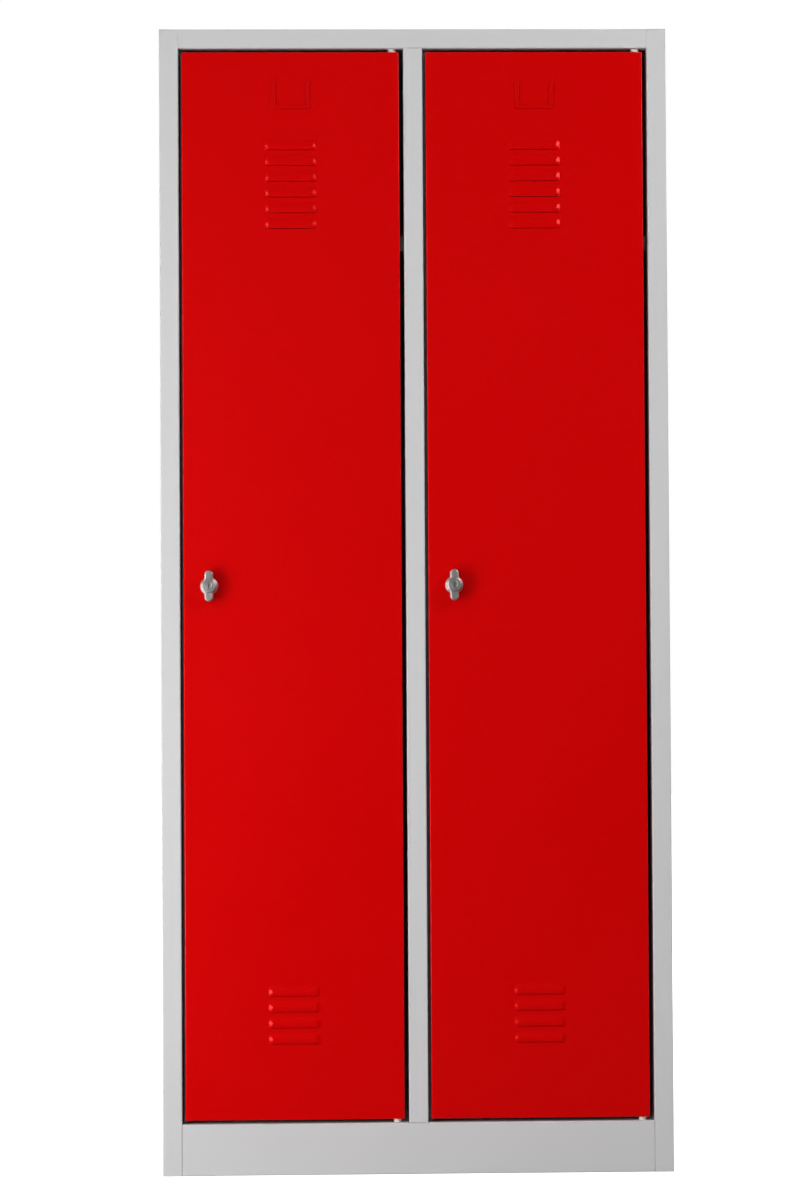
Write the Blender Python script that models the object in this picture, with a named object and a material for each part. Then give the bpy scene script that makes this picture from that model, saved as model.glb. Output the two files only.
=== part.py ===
# Clothing locker: a two-door sheet steel wardrobe with louvred doors, turn-knob locks,
# hat shelves and clothes rails with sliding hooks.
# Lengths are in metres. The front faces -Y, Z is up, and the origin is on the floor
# in the middle of the footprint.

import math

import bmesh
import bpy
from mathutils import Vector

MM = 0.001

# Overall size of the steel cabinet
WIDTH = 800 * MM
HEIGHT = 1800 * MM
DEPTH = 500 * MM

# Sheet steel and folds
SHEET = 0.8 * MM
FOLD_RADIUS = 1.6 * MM
FOLD_STEPS = 2
CLEARANCE = 0.3 * MM
BUTT_GAP = 0.5 * MM

# Frame around the doors
STILE_WIDTH = 30 * MM
STILE_DEPTH = 40 * MM
INNER_LIP = 12 * MM
RAIL_HEIGHT = 30 * MM
RAIL_RETURN = 25 * MM
PLINTH_HEIGHT = 80 * MM
PLINTH_SILL = 30 * MM
PLINTH_FOOT = 20 * MM
EDGE_FLANGE = 18 * MM
FLANGE_SETBACK = 45 * MM
SILL_OVERLAP = 10 * MM

# Doors
DOOR_RECESS = 3 * MM
DOOR_DEPTH = 18 * MM
DOOR_LIP = 14 * MM
LATCH_GAP = 5 * MM
HINGE_GAP = 7 * MM
END_GAP = 5.5 * MM
STOP_GAP = 4 * MM

# Louvres pressed in the doors
LOUVRE_LENGTH = 83 * MM
LOUVRE_HEIGHT = 17.5 * MM
LOUVRE_RISE = 1.8 * MM
LOUVRE_SLOT = 0.25 * MM
LOUVRE_END = 5.5 * MM
LOUVRE_CURVE = 1.25
LOUVRE_PITCH = 24.9 * MM
LOUVRE_END_STEPS = 4
LOUVRE_ROWS = 3
UPPER_LOUVRES = 6
LOWER_LOUVRES = 4
UPPER_LOUVRE_DROP = 137.5 * MM
LOWER_LOUVRE_RISE = 118.5 * MM

# Label holder
LABEL_WIDTH = 60 * MM
LABEL_HEIGHT = 44 * MM
LABEL_BAR = 6 * MM
LABEL_THICK = 1.6 * MM
LABEL_DROP = 46 * MM

# Door stiffening channel
STIFFENER_CROWN = 50 * MM
STIFFENER_WING = 14 * MM
STIFFENER_DEPTH = 12 * MM
STIFFENER_MARGIN = 40 * MM

# Pivot hinges
HINGE_INSET = 11 * MM
PIN_RADIUS = 3 * MM
PIN_HEAD_RADIUS = 5 * MM
PIN_HEAD = 3 * MM
PIN_ENGAGE = 5 * MM
BUSH_COLLAR_RADIUS = 6 * MM
BUSH_BODY_RADIUS = 4.8 * MM
BUSH_BODY = 5 * MM
PIVOT_PLATE_THICK = 3 * MM
PIVOT_PLATE_LENGTH = 36 * MM
PIVOT_PLATE_DEPTH = 13 * MM

# Lock
LOCK_INSET = 40.5 * MM
LOCK_Z = 922 * MM
ROSETTE_RADIUS = 14 * MM
ROSETTE_THICK = 3 * MM
NECK_RADIUS = 9 * MM
NECK_LENGTH = 13 * MM
SPINDLE_RADIUS = 5.5 * MM
NUT_RADIUS = 14 * MM
NUT_THICK = 5 * MM
KNOB_HEIGHT = 20 * MM
HUB_RADIUS = 12.5 * MM
WING_SPAN = 49 * MM
WING_WIDTH = 13.5 * MM
WING_HEIGHT = 16 * MM
CYLINDER_RADIUS = 6.5 * MM
CYLINDER_DEPTH = 13 * MM
CYLINDER_PROUD = 0.6 * MM
KEYWAY_WIDTH = 2 * MM
KEYWAY_HEIGHT = 7.5 * MM
KEYWAY_DEPTH = 9 * MM
TONGUE_TIP_GAP = 4 * MM
TONGUE_WIDTH = 20 * MM
TONGUE_THICK = 3 * MM
TONGUE_CLEAR = 1.2 * MM
TONGUE_SQUARE = 7 * MM
SCREW_RADIUS = 2 * MM
SCREW_LENGTH = 9 * MM
SCREW_HEAD_RADIUS = 6 * MM
SCREW_HEAD = 3 * MM

# Strike strips and door buffers
STRIKE_LIP = 12 * MM
BUFFER_RADIUS = 3.5 * MM
BUFFER_MARGIN = 140 * MM

# Inside fittings
SHELF_DROP = 320 * MM
SHELF_SETBACK = 50 * MM
SHELF_FRONT = 25 * MM
SHELF_HEM = 12 * MM
CLOTHES_RAIL_DROP = 75 * MM
CLOTHES_RAIL_TALL = 30 * MM
CLOTHES_RAIL_THICK = 15 * MM
CLOTHES_RAIL_WALL = 1.5 * MM
SOCKET_WALL = 3.5 * MM
SOCKET_DEPTH = 12 * MM
SOCKET_BASE = 2.5 * MM
SOCKET_RIM = 5 * MM
HOOK_COUNT = 3
HOOK_SPACING = 95 * MM
HOOK_RING_WALL = 3.5 * MM
HOOK_RING_LENGTH = 12 * MM
HOOK_THICK = 8 * MM
HOOK_BAR = 7 * MM
HOOK_BEND = 12 * MM
HOOK_STEM = 30 * MM
HOOK_TIP = 12 * MM

CUT_REACH = 3 * MM
ROUND_STEPS = 28
FINE_ROUND_STEPS = 16
ARC_STEPS = 6

# Positions that follow from the sizes above
KNOB_REACH = ROSETTE_THICK + 2 * CLEARANCE + KNOB_HEIGHT + CYLINDER_PROUD - DOOR_RECESS
FRONT = -(DEPTH - KNOB_REACH) / 2
BACK = FRONT + DEPTH
REAR = BACK - SHEET - CLEARANCE
LEFT = -WIDTH / 2
RIGHT = WIDTH / 2
PANEL_TOP = HEIGHT - SHEET - CLEARANCE
RAIL_UNDER = HEIGHT - RAIL_HEIGHT
FLOOR_TOP = PLINTH_HEIGHT - SHEET - CLEARANCE
OPENING = (WIDTH - 3 * STILE_WIDTH) / 2
DOOR_WIDTH = OPENING - LATCH_GAP - HINGE_GAP
DOOR_FRONT = FRONT + DOOR_RECESS
DOOR_BACK = DOOR_FRONT + DOOR_DEPTH
DOOR_BOTTOM = PLINTH_HEIGHT + END_GAP
DOOR_TOP = RAIL_UNDER - END_GAP
HINGE_Y = DOOR_FRONT + DOOR_DEPTH / 2
STILE_REAR = FRONT + STILE_DEPTH
STRIKE_FRONT = DOOR_BACK + STOP_GAP
TONGUE_FRONT = STRIKE_FRONT + SHEET + TONGUE_CLEAR
TONGUE_LENGTH = LOCK_INSET + LATCH_GAP - TONGUE_TIP_GAP
COLLAR_HEIGHT = END_GAP - 2 * CLEARANCE
LOWER_LOUVRE_Z = DOOR_BOTTOM + LOWER_LOUVRE_RISE
UPPER_LOUVRE_Z = DOOR_TOP - UPPER_LOUVRE_DROP - LOUVRE_HEIGHT - (UPPER_LOUVRES - 1) * LOUVRE_PITCH
LABEL_Z = DOOR_TOP - LABEL_DROP - LABEL_HEIGHT
SHELF_Z = HEIGHT - SHELF_DROP
CLOTHES_RAIL_Z = SHELF_Z - CLOTHES_RAIL_DROP
CLOTHES_RAIL_Y = (FRONT + BACK) / 2
BAY_OFFSET = (OPENING + STILE_WIDTH) / 2
BAYS = (("left", -BAY_OFFSET), ("right", BAY_OFFSET))


# Materials

def material(name, colour, roughness, metallic):
    found = bpy.data.materials.get(name)
    if found:
        return found
    made = bpy.data.materials.new(name)
    made.use_nodes = True
    shader = made.node_tree.nodes["Principled BSDF"]
    shader.inputs["Base Color"].default_value = (*colour, 1.0)
    shader.inputs["Roughness"].default_value = roughness
    shader.inputs["Metallic"].default_value = metallic
    made.diffuse_color = (*colour, 1.0)
    return made


def grey_coat():
    return material("grey_powder_coat", (0.60, 0.60, 0.61), 0.45, 0.0)


def red_coat():
    return material("red_powder_coat", (0.60, 0.005, 0.005), 0.4, 0.0)


def satin_metal():
    return material("satin_nickel", (0.60, 0.59, 0.57), 0.3, 1.0)


def zinc_plate():
    return material("zinc_plate", (0.55, 0.56, 0.58), 0.4, 1.0)


def ivory_nylon():
    return material("ivory_nylon", (0.80, 0.78, 0.72), 0.5, 0.0)


def black_rubber():
    return material("black_rubber", (0.03, 0.03, 0.03), 0.8, 0.0)


def black_plastic():
    return material("black_plastic", (0.04, 0.04, 0.045), 0.45, 0.0)


# Mesh helpers

def clear_scene():
    for item in list(bpy.data.objects):
        bpy.data.objects.remove(item, do_unlink=True)


def place_object(name, bm, look):
    mesh = bpy.data.meshes.new(name)
    bm.to_mesh(mesh)
    bm.free()
    if look:
        mesh.materials.append(look)
    thing = bpy.data.objects.new(name, mesh)
    bpy.context.scene.collection.objects.link(thing)
    return thing


def keep_shape(thing):
    """Make the shape that the modifiers give the piece's own mesh."""
    graph = bpy.context.evaluated_depsgraph_get()
    shaped = bpy.data.meshes.new_from_object(thing.evaluated_get(graph))
    thing.modifiers.clear()
    thing.data = shaped
    return thing


def combine(thing, tool, operation):
    step = thing.modifiers.new(operation.lower(), "BOOLEAN")
    step.operation = operation
    step.solver = "EXACT"
    step.object = tool
    keep_shape(thing)
    bpy.data.objects.remove(tool, do_unlink=True)
    return thing


def cut(thing, tool):
    return combine(thing, tool, "DIFFERENCE")


def join(thing, tool):
    return combine(thing, tool, "UNION")


def round_edges(thing, width, steps=2, angle=40):
    step = thing.modifiers.new("rounded_edges", "BEVEL")
    step.width = width
    step.segments = steps
    step.limit_method = "ANGLE"
    step.angle_limit = math.radians(angle)
    return keep_shape(thing)


def shade_round(thing, angle=35):
    thing.data.shade_smooth()
    thing.data.set_sharp_from_angle(angle=math.radians(angle))
    return thing


def set_origin(thing, point):
    """Put the piece's origin on a point, such as its joint axis, without moving the piece."""
    shift = Vector(point)
    thing.data.transform(thing.matrix_world.inverted())
    for vertex in thing.data.vertices:
        vertex.co -= shift
    thing.location = shift
    return thing


def loft(name, rings, look, closed=False):
    """Closed body through equal rings of points; the end rings are capped unless it closes on itself."""
    bm = bmesh.new()
    rows = [[bm.verts.new(point) for point in ring] for ring in rings]
    pairs = list(zip(rows, rows[1:]))
    if closed:
        pairs.append((rows[-1], rows[0]))
    for lower, upper in pairs:
        count = len(lower)
        for i in range(count):
            j = (i + 1) % count
            bm.faces.new((lower[i], lower[j], upper[j], upper[i]))
    if not closed:
        bm.faces.new(rows[0])
        bm.faces.new(rows[-1])
    bmesh.ops.recalc_face_normals(bm, faces=bm.faces)
    return place_object(name, bm, look)


def along(axis, centre, across, up, distance):
    """Point at two cross positions and a distance along an axis, measured from a centre."""
    if axis == "X":
        return (centre[0] + distance, centre[1] + across, centre[2] + up)
    if axis == "Y":
        return (centre[0] + across, centre[1] + distance, centre[2] + up)
    return (centre[0] + across, centre[1] + up, centre[2] + distance)


def circle(radius, steps):
    turn = 2 * math.pi / steps
    return [(radius * math.cos(turn * i), radius * math.sin(turn * i)) for i in range(steps)]


def stadium(thick, tall, steps=ARC_STEPS):
    """Outline with two straight sides and half-round ends, taller than it is thick."""
    radius = thick / 2
    lift = tall / 2 - radius
    top = [math.pi * i / steps for i in range(steps + 1)]
    upper = [(radius * math.cos(a), radius * math.sin(a) + lift) for a in top]
    lower = [(-x, -y) for x, y in upper]
    return upper + lower


def turned(name, centre, axis, profile, look, steps=ROUND_STEPS, closed=False):
    """Round body from a list of (radius, distance along the axis)."""
    rings = []
    for radius, distance in profile:
        rings.append([along(axis, centre, a, b, distance) for a, b in circle(radius, steps)])
    return shade_round(loft(name, rings, look, closed))


def prism(name, centre, axis, outline, start, end, look):
    rings = [[along(axis, centre, a, b, d) for a, b in outline] for d in (start, end)]
    return loft(name, rings, look)


def cylinder_tool(centre, axis, radius, start, end, steps=FINE_ROUND_STEPS):
    return prism("tool", centre, axis, circle(radius, steps), start, end, None)


def box(name, low, high, look):
    outline = [(low[0], low[1]), (high[0], low[1]), (high[0], high[1]), (low[0], high[1])]
    return prism(name, (0, 0, 0), "Z", outline, low[2], high[2], look)


# Sheet metal

def upright_strip(profile, low, high):
    """Faces of a sheet whose plan is a line of (x, y) points."""
    faces = []
    for (x0, y0), (x1, y1) in zip(profile, profile[1:]):
        faces.append([(x0, y0, low), (x1, y1, low), (x1, y1, high), (x0, y0, high)])
    return faces


def cross_strip(profile, low, high):
    """Faces of a sheet whose side view is a line of (y, z) points."""
    faces = []
    for (y0, z0), (y1, z1) in zip(profile, profile[1:]):
        faces.append([(low, y0, z0), (high, y0, z0), (high, y1, z1), (low, y1, z1)])
    return faces


def sheet(name, faces, outside, look, thickness=SHEET):
    """Folded sheet from the flat faces of its outer skin; the first face looks towards outside."""
    bm = bmesh.new()
    corners = {}
    for face in faces:
        loop = []
        for point in face:
            key = tuple(round(value, 7) for value in point)
            if key not in corners:
                corners[key] = bm.verts.new(point)
            loop.append(corners[key])
        bm.faces.new(loop)
    bmesh.ops.recalc_face_normals(bm, faces=bm.faces)
    bm.faces.ensure_lookup_table()
    if bm.faces[0].normal.dot(Vector(outside)) < 0:
        bmesh.ops.reverse_faces(bm, faces=bm.faces)
    weight = bm.edges.layers.float.new("bevel_weight_edge")
    for edge in bm.edges:
        if len(edge.link_faces) == 2 and abs(edge.calc_face_angle() - math.pi / 2) < 0.05:
            edge[weight] = 1.0
    thing = place_object(name, bm, look)
    folds = thing.modifiers.new("folds", "BEVEL")
    folds.width = FOLD_RADIUS
    folds.segments = FOLD_STEPS
    folds.limit_method = "WEIGHT"
    wall = thing.modifiers.new("wall", "SOLIDIFY")
    wall.thickness = thickness
    wall.offset = -1.0
    wall.use_even_offset = True
    wall.use_quality_normals = True
    return keep_shape(thing)


# Cabinet

def side_panel(side, wall_x, inward):
    """Side wall and stile in one sheet, with flanges under the top panel, on the floor and at the back."""
    low = FRONT + FLANGE_SETBACK
    high = REAR - FLANGE_SETBACK
    inner_x = wall_x + inward * EDGE_FLANGE
    edge = wall_x + inward * STILE_WIDTH
    stops = (FRONT, low, high, REAR)
    faces = []
    for near, far in zip(stops, stops[1:]):
        faces += upright_strip([(wall_x, near), (wall_x, far)], 0, PANEL_TOP)
    for z in (0, PANEL_TOP):
        faces.append([(wall_x, low, z), (wall_x, high, z), (inner_x, high, z), (inner_x, low, z)])
    faces += upright_strip([(wall_x, REAR), (inner_x, REAR)], 0, PANEL_TOP)
    stile = [(wall_x, FRONT), (edge, FRONT), (edge, STILE_REAR), (edge - inward * INNER_LIP, STILE_REAR)]
    faces += upright_strip(stile, 0, PANEL_TOP)
    return sheet(side + "_side_panel", faces, (-inward, 0, 0), grey_coat())


def cut_bush_hole(panel, middle, height):
    point = (hinge_x(middle), HINGE_Y, height)
    return cut(panel, cylinder_tool(point, "Z", BUSH_BODY_RADIUS + CLEARANCE, -CUT_REACH, CUT_REACH))


def back_panel():
    return box("back_panel", (LEFT, BACK - SHEET, 0), (RIGHT, BACK, HEIGHT), grey_coat())


def top_panel():
    """Top sheet over the side panels, with the front rail folded down between the stiles."""
    side = RIGHT - STILE_WIDTH - BUTT_GAP
    rear_side = side - EDGE_FLANGE
    outline = [(LEFT, FRONT), (-side, FRONT), (side, FRONT), (RIGHT, FRONT),
               (RIGHT, REAR), (rear_side, REAR), (-rear_side, REAR), (LEFT, REAR)]
    faces = [[(x, y, HEIGHT) for x, y in outline]]
    rail = [(FRONT, HEIGHT), (FRONT, RAIL_UNDER), (FRONT + RAIL_RETURN, RAIL_UNDER),
            (FRONT + RAIL_RETURN, RAIL_UNDER + INNER_LIP)]
    faces += cross_strip(rail, -side, side)
    faces += cross_strip([(REAR, HEIGHT), (REAR, HEIGHT - EDGE_FLANGE)], -rear_side, rear_side)
    panel = sheet("top_panel", faces, (0, 0, 1), grey_coat())
    for bay, middle in BAYS:
        cut_bush_hole(panel, middle, RAIL_UNDER)
    return panel


def plinth():
    side = RIGHT - STILE_WIDTH - BUTT_GAP
    profile = [(FRONT + PLINTH_FOOT, 0), (FRONT, 0), (FRONT, PLINTH_HEIGHT),
               (FRONT + PLINTH_SILL, PLINTH_HEIGHT)]
    board = sheet("plinth", cross_strip(profile, -side, side), (0, 0, -1), grey_coat())
    for bay, middle in BAYS:
        cut_bush_hole(board, middle, PLINTH_HEIGHT)
    return board


def floor_panel():
    """Compartment floor, notched round the stiles, with its front edge under the plinth's sill."""
    front = FRONT + PLINTH_SILL - SILL_OVERLAP
    notch = STILE_REAR + BUTT_GAP
    wall = RIGHT - SHEET - CLEARANCE
    side = RIGHT - STILE_WIDTH - BUTT_GAP
    rear = REAR - SHEET - CLEARANCE
    low = notch + FLANGE_SETBACK
    high = rear - FLANGE_SETBACK
    drop = FLOOR_TOP - EDGE_FLANGE
    rear_side = wall - FLANGE_SETBACK
    outline = [(-side, front), (side, front), (side, notch), (wall, notch),
               (wall, low), (wall, high), (wall, rear), (rear_side, rear), (-rear_side, rear),
               (-wall, rear), (-wall, high), (-wall, low), (-wall, notch), (-side, notch)]
    faces = [[(x, y, FLOOR_TOP) for x, y in outline]]
    for x in (-wall, wall):
        faces.append([(x, low, FLOOR_TOP), (x, high, FLOOR_TOP), (x, high, drop), (x, low, drop)])
    faces += cross_strip([(rear, FLOOR_TOP), (rear, drop)], -rear_side, rear_side)
    return sheet("floor_panel", faces, (0, 0, 1), grey_coat())


def centre_stile():
    half = STILE_WIDTH / 2
    lip = half - INNER_LIP
    profile = [(-lip, STILE_REAR), (-half, STILE_REAR), (-half, FRONT), (half, FRONT),
               (half, STILE_REAR), (lip, STILE_REAR)]
    low = PLINTH_HEIGHT + CLEARANCE
    high = RAIL_UNDER - CLEARANCE
    return sheet("centre_stile", upright_strip(profile, low, high), (0, 1, 0), grey_coat())


def centre_partition():
    """Upright sheet between the compartments, flanged to the centre stile and the back."""
    half = SHEET / 2
    front = STILE_REAR + CLEARANCE
    rear = REAR - SHEET - CLEARANCE
    profile = [(half - INNER_LIP, front), (half, front), (half, rear), (half - EDGE_FLANGE, rear)]
    low = PLINTH_HEIGHT + CLEARANCE
    high = PANEL_TOP
    return sheet("centre_partition", upright_strip(profile, low, high), (0, -1, 0), grey_coat())


def strike_strip(bay, middle):
    """Angle on the latch side of the opening that stops the door and holds the latch tongue."""
    jamb = middle - OPENING / 2
    leg = jamb + CLEARANCE
    profile = [(leg, STILE_REAR), (leg, STRIKE_FRONT), (jamb + STRIKE_LIP, STRIKE_FRONT)]
    low = PLINTH_HEIGHT + CLEARANCE
    high = RAIL_UNDER - CLEARANCE
    return sheet(bay + "_strike_strip", upright_strip(profile, low, high), (-1, 0, 0), grey_coat())


# Doors

def hinge_x(middle):
    return middle + OPENING / 2 - HINGE_GAP - HINGE_INSET


def door_left(middle):
    return middle - OPENING / 2 + LATCH_GAP


def middle_of_door(middle):
    return door_left(middle) + DOOR_WIDTH / 2


def lock_point(middle):
    return (door_left(middle) + LOCK_INSET, DOOR_FRONT, LOCK_Z)


def louvre_columns():
    """Positions along a louvre, from 0 to its length, close together on its rounded ends."""
    ends = [LOUVRE_END * i / LOUVRE_END_STEPS for i in range(LOUVRE_END_STEPS + 1)]
    return ends + [LOUVRE_LENGTH - value for value in reversed(ends)]


def louvre_rise(position, height):
    """How far the hood stands out at a position along it and a height above its cut edge."""
    from_end = min(1.0, min(position, LOUVRE_LENGTH - position) / LOUVRE_END)
    from_top = max(0.0, LOUVRE_HEIGHT - height) / (LOUVRE_HEIGHT - LOUVRE_SLOT)
    dome = (1 - math.cos(math.pi * from_end)) / 2
    return LOUVRE_RISE * dome * math.sin(math.pi / 2 * from_top) ** LOUVRE_CURVE


def louvre_levels():
    step = (LOUVRE_HEIGHT - LOUVRE_SLOT) / LOUVRE_ROWS
    return [LOUVRE_SLOT + step * i for i in range(LOUVRE_ROWS + 1)]


def louvre_starts():
    lower = [LOWER_LOUVRE_Z + LOUVRE_PITCH * i for i in range(LOWER_LOUVRES)]
    upper = [UPPER_LOUVRE_Z + LOUVRE_PITCH * i for i in range(UPPER_LOUVRES)]
    return lower + upper


def louvre_field(middle):
    """Rows of points over the louvred strip of a door, from the lowest louvre to the highest.

    Each row is a list of points and a flag that says if the band above it is the open slot.
    """
    columns = louvre_columns()
    left = middle_of_door(middle) - LOUVRE_LENGTH / 2
    rows = []
    for start in louvre_starts():
        flat = [(left + u, DOOR_FRONT, start) for u in columns]
        rows.append((flat, True))
        for height in louvre_levels():
            hood = [(left + u, DOOR_FRONT - louvre_rise(u, height), start + height) for u in columns]
            rows.append((hood, False))
    return rows


def door_skin_faces(middle):
    """Door front with its louvres, edges folded back and lips folded in behind."""
    rows = louvre_field(middle)
    faces = []
    for (lower, slot), (upper, _) in zip(rows, rows[1:]):
        if slot:
            continue
        for i in range(len(lower) - 1):
            faces.append([lower[i], lower[i + 1], upper[i + 1], upper[i]])
    low, high = DOOR_BOTTOM, DOOR_TOP
    left = door_left(middle)
    right = left + DOOR_WIDTH
    first = rows[0][0]
    last = rows[-1][0]
    half = len(first) // 2
    left_side = [row[0] for row, _ in rows]
    right_side = [row[-1] for row, _ in rows]
    seam_low = (first[half][0], DOOR_FRONT, low)
    seam_high = (first[half][0], DOOR_FRONT, high)
    left_part = [(left, DOOR_FRONT, low), seam_low] + first[half::-1] + left_side[1:]
    left_part += last[1:half + 1] + [seam_high, (left, DOOR_FRONT, high)]
    right_part = [seam_low, (right, DOOR_FRONT, low), (right, DOOR_FRONT, high), seam_high]
    right_part += last[half:] + right_side[-2::-1] + first[-2:half - 1:-1]
    faces = [left_part, right_part] + faces
    seam = seam_low[0]
    inner_left, inner_right = left + DOOR_LIP, right - DOOR_LIP
    for x, inner in ((left, inner_left), (right, inner_right)):
        faces.append([(x, DOOR_FRONT, low), (x, DOOR_BACK, low), (x, DOOR_BACK, high), (x, DOOR_FRONT, high)])
        faces.append([(x, DOOR_BACK, low), (inner, DOOR_BACK, low + DOOR_LIP),
                      (inner, DOOR_BACK, high - DOOR_LIP), (x, DOOR_BACK, high)])
    for z, inner_z in ((low, low + DOOR_LIP), (high, high - DOOR_LIP)):
        for x, inner in ((left, inner_left), (right, inner_right)):
            faces.append([(x, DOOR_FRONT, z), (seam, DOOR_FRONT, z), (seam, DOOR_BACK, z), (x, DOOR_BACK, z)])
            faces.append([(x, DOOR_BACK, z), (seam, DOOR_BACK, z),
                          (seam, DOOR_BACK, inner_z), (inner, DOOR_BACK, inner_z)])
    return faces


def door_panel(bay, middle):
    panel = sheet(bay + "_door_panel", door_skin_faces(middle), (0, -1, 0), red_coat())
    lock_hole = NECK_RADIUS + CLEARANCE
    cut(panel, cylinder_tool(lock_point(middle), "Y", lock_hole, -CUT_REACH, CUT_REACH, ROUND_STEPS))
    for z in (DOOR_BOTTOM, DOOR_TOP):
        pin_hole = (hinge_x(middle), HINGE_Y, z)
        cut(panel, cylinder_tool(pin_hole, "Z", PIN_RADIUS + CLEARANCE, -CUT_REACH, CUT_REACH))
    return set_origin(panel, (hinge_x(middle), HINGE_Y, 0))


def door_stiffener(bay, middle):
    """Channel on the back of the door between the two groups of louvres."""
    inner = DOOR_FRONT + SHEET + CLEARANCE
    crown = STIFFENER_CROWN / 2
    wing = crown + STIFFENER_WING
    deep = inner + STIFFENER_DEPTH
    profile = [(-wing, inner), (-crown, inner), (-crown, deep), (crown, deep), (crown, inner), (wing, inner)]
    profile = [(middle_of_door(middle) + x, y) for x, y in profile]
    low = louvre_starts()[LOWER_LOUVRES - 1] + LOUVRE_HEIGHT + STIFFENER_MARGIN
    high = UPPER_LOUVRE_Z - STIFFENER_MARGIN
    return sheet(bay + "_door_stiffener", upright_strip(profile, low, high), (0, -1, 0), red_coat())


def label_holder(bay, middle):
    """Three-sided card frame, open at the top."""
    half = LABEL_WIDTH / 2
    outline = [(-half, 0), (half, 0), (half, LABEL_HEIGHT), (half - LABEL_BAR, LABEL_HEIGHT),
               (half - LABEL_BAR, LABEL_BAR), (LABEL_BAR - half, LABEL_BAR),
               (LABEL_BAR - half, LABEL_HEIGHT), (-half, LABEL_HEIGHT)]
    centre = (middle_of_door(middle), DOOR_FRONT - CLEARANCE, LABEL_Z)
    return prism(bay + "_label_holder", centre, "Y", outline, -LABEL_THICK, 0, red_coat())


# Pivot hinges

def hinge_bush(bay, end, middle):
    """Nylon bush in the frame, with a collar that fills the gap above or below the door."""
    up = 1 if end == "upper" else -1
    seat = RAIL_UNDER if end == "upper" else PLINTH_HEIGHT
    bore = PIN_RADIUS + CLEARANCE
    profile = [(bore, -COLLAR_HEIGHT - CLEARANCE), (BUSH_COLLAR_RADIUS, -COLLAR_HEIGHT - CLEARANCE),
               (BUSH_COLLAR_RADIUS, -CLEARANCE), (BUSH_BODY_RADIUS, -CLEARANCE),
               (BUSH_BODY_RADIUS, BUSH_BODY), (bore, BUSH_BODY)]
    profile = [(radius, up * distance) for radius, distance in profile]
    centre = (hinge_x(middle), HINGE_Y, seat)
    name = bay + "_" + end + "_hinge_bush"
    return turned(name, centre, "Z", profile, ivory_nylon(), FINE_ROUND_STEPS, closed=True)


def pivot_plate(bay, end, middle):
    """Steel plate inside the door's corner that carries the pivot pin."""
    up = 1 if end == "upper" else -1
    flange = DOOR_TOP if end == "upper" else DOOR_BOTTOM
    outer = flange - up * (SHEET + CLEARANCE)
    low, high = sorted((outer, outer - up * PIVOT_PLATE_THICK))
    right = door_left(middle) + DOOR_WIDTH - SHEET - FOLD_RADIUS
    left = right - PIVOT_PLATE_LENGTH
    near = HINGE_Y - PIVOT_PLATE_DEPTH / 2
    far = HINGE_Y + PIVOT_PLATE_DEPTH / 2
    plate = box(bay + "_" + end + "_pivot_plate", (left, near, low), (right, far, high), zinc_plate())
    hole = (hinge_x(middle), HINGE_Y, low)
    return cut(plate, cylinder_tool(hole, "Z", PIN_RADIUS + CLEARANCE, -PIN_HEAD, 2 * PIN_HEAD))


def pivot_pin(bay, end, middle):
    up = 1 if end == "upper" else -1
    flange = DOOR_TOP if end == "upper" else DOOR_BOTTOM
    head = -(SHEET + 2 * CLEARANCE + PIVOT_PLATE_THICK)
    tip = END_GAP + PIN_ENGAGE
    chamfer = PIN_RADIUS / 4
    profile = [(PIN_HEAD_RADIUS, head - PIN_HEAD), (PIN_HEAD_RADIUS, head), (PIN_RADIUS, head),
               (PIN_RADIUS, tip - chamfer), (PIN_RADIUS - chamfer, tip)]
    profile = [(radius, up * distance) for radius, distance in profile]
    centre = (hinge_x(middle), HINGE_Y, flange)
    name = bay + "_" + end + "_pivot_pin"
    return turned(name, centre, "Z", profile, zinc_plate(), FINE_ROUND_STEPS)


# Locks

def lock_housing(bay, middle):
    """Rosette on the door front with a neck through the door."""
    bore = SPINDLE_RADIUS + CLEARANCE
    chamfer = ROSETTE_THICK / 3
    face = -CLEARANCE - ROSETTE_THICK
    profile = [(bore, face), (ROSETTE_RADIUS - chamfer, face), (ROSETTE_RADIUS, face + chamfer),
               (ROSETTE_RADIUS, -CLEARANCE), (NECK_RADIUS, -CLEARANCE), (NECK_RADIUS, NECK_LENGTH),
               (bore, NECK_LENGTH)]
    return turned(bay + "_lock_housing", lock_point(middle), "Y", profile, satin_metal(), closed=True)


def lock_nut(bay, middle):
    start = SHEET + CLEARANCE
    outline = circle(NUT_RADIUS, 6)
    nut = prism(bay + "_lock_nut", lock_point(middle), "Y", outline, start, start + NUT_THICK, zinc_plate())
    hole = NECK_RADIUS + CLEARANCE
    return cut(nut, cylinder_tool(lock_point(middle), "Y", hole, 0, NECK_LENGTH, ROUND_STEPS))


def knob_base():
    """Distance from the door's front to the underside of the knob, towards the viewer."""
    return -2 * CLEARANCE - ROSETTE_THICK


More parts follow.
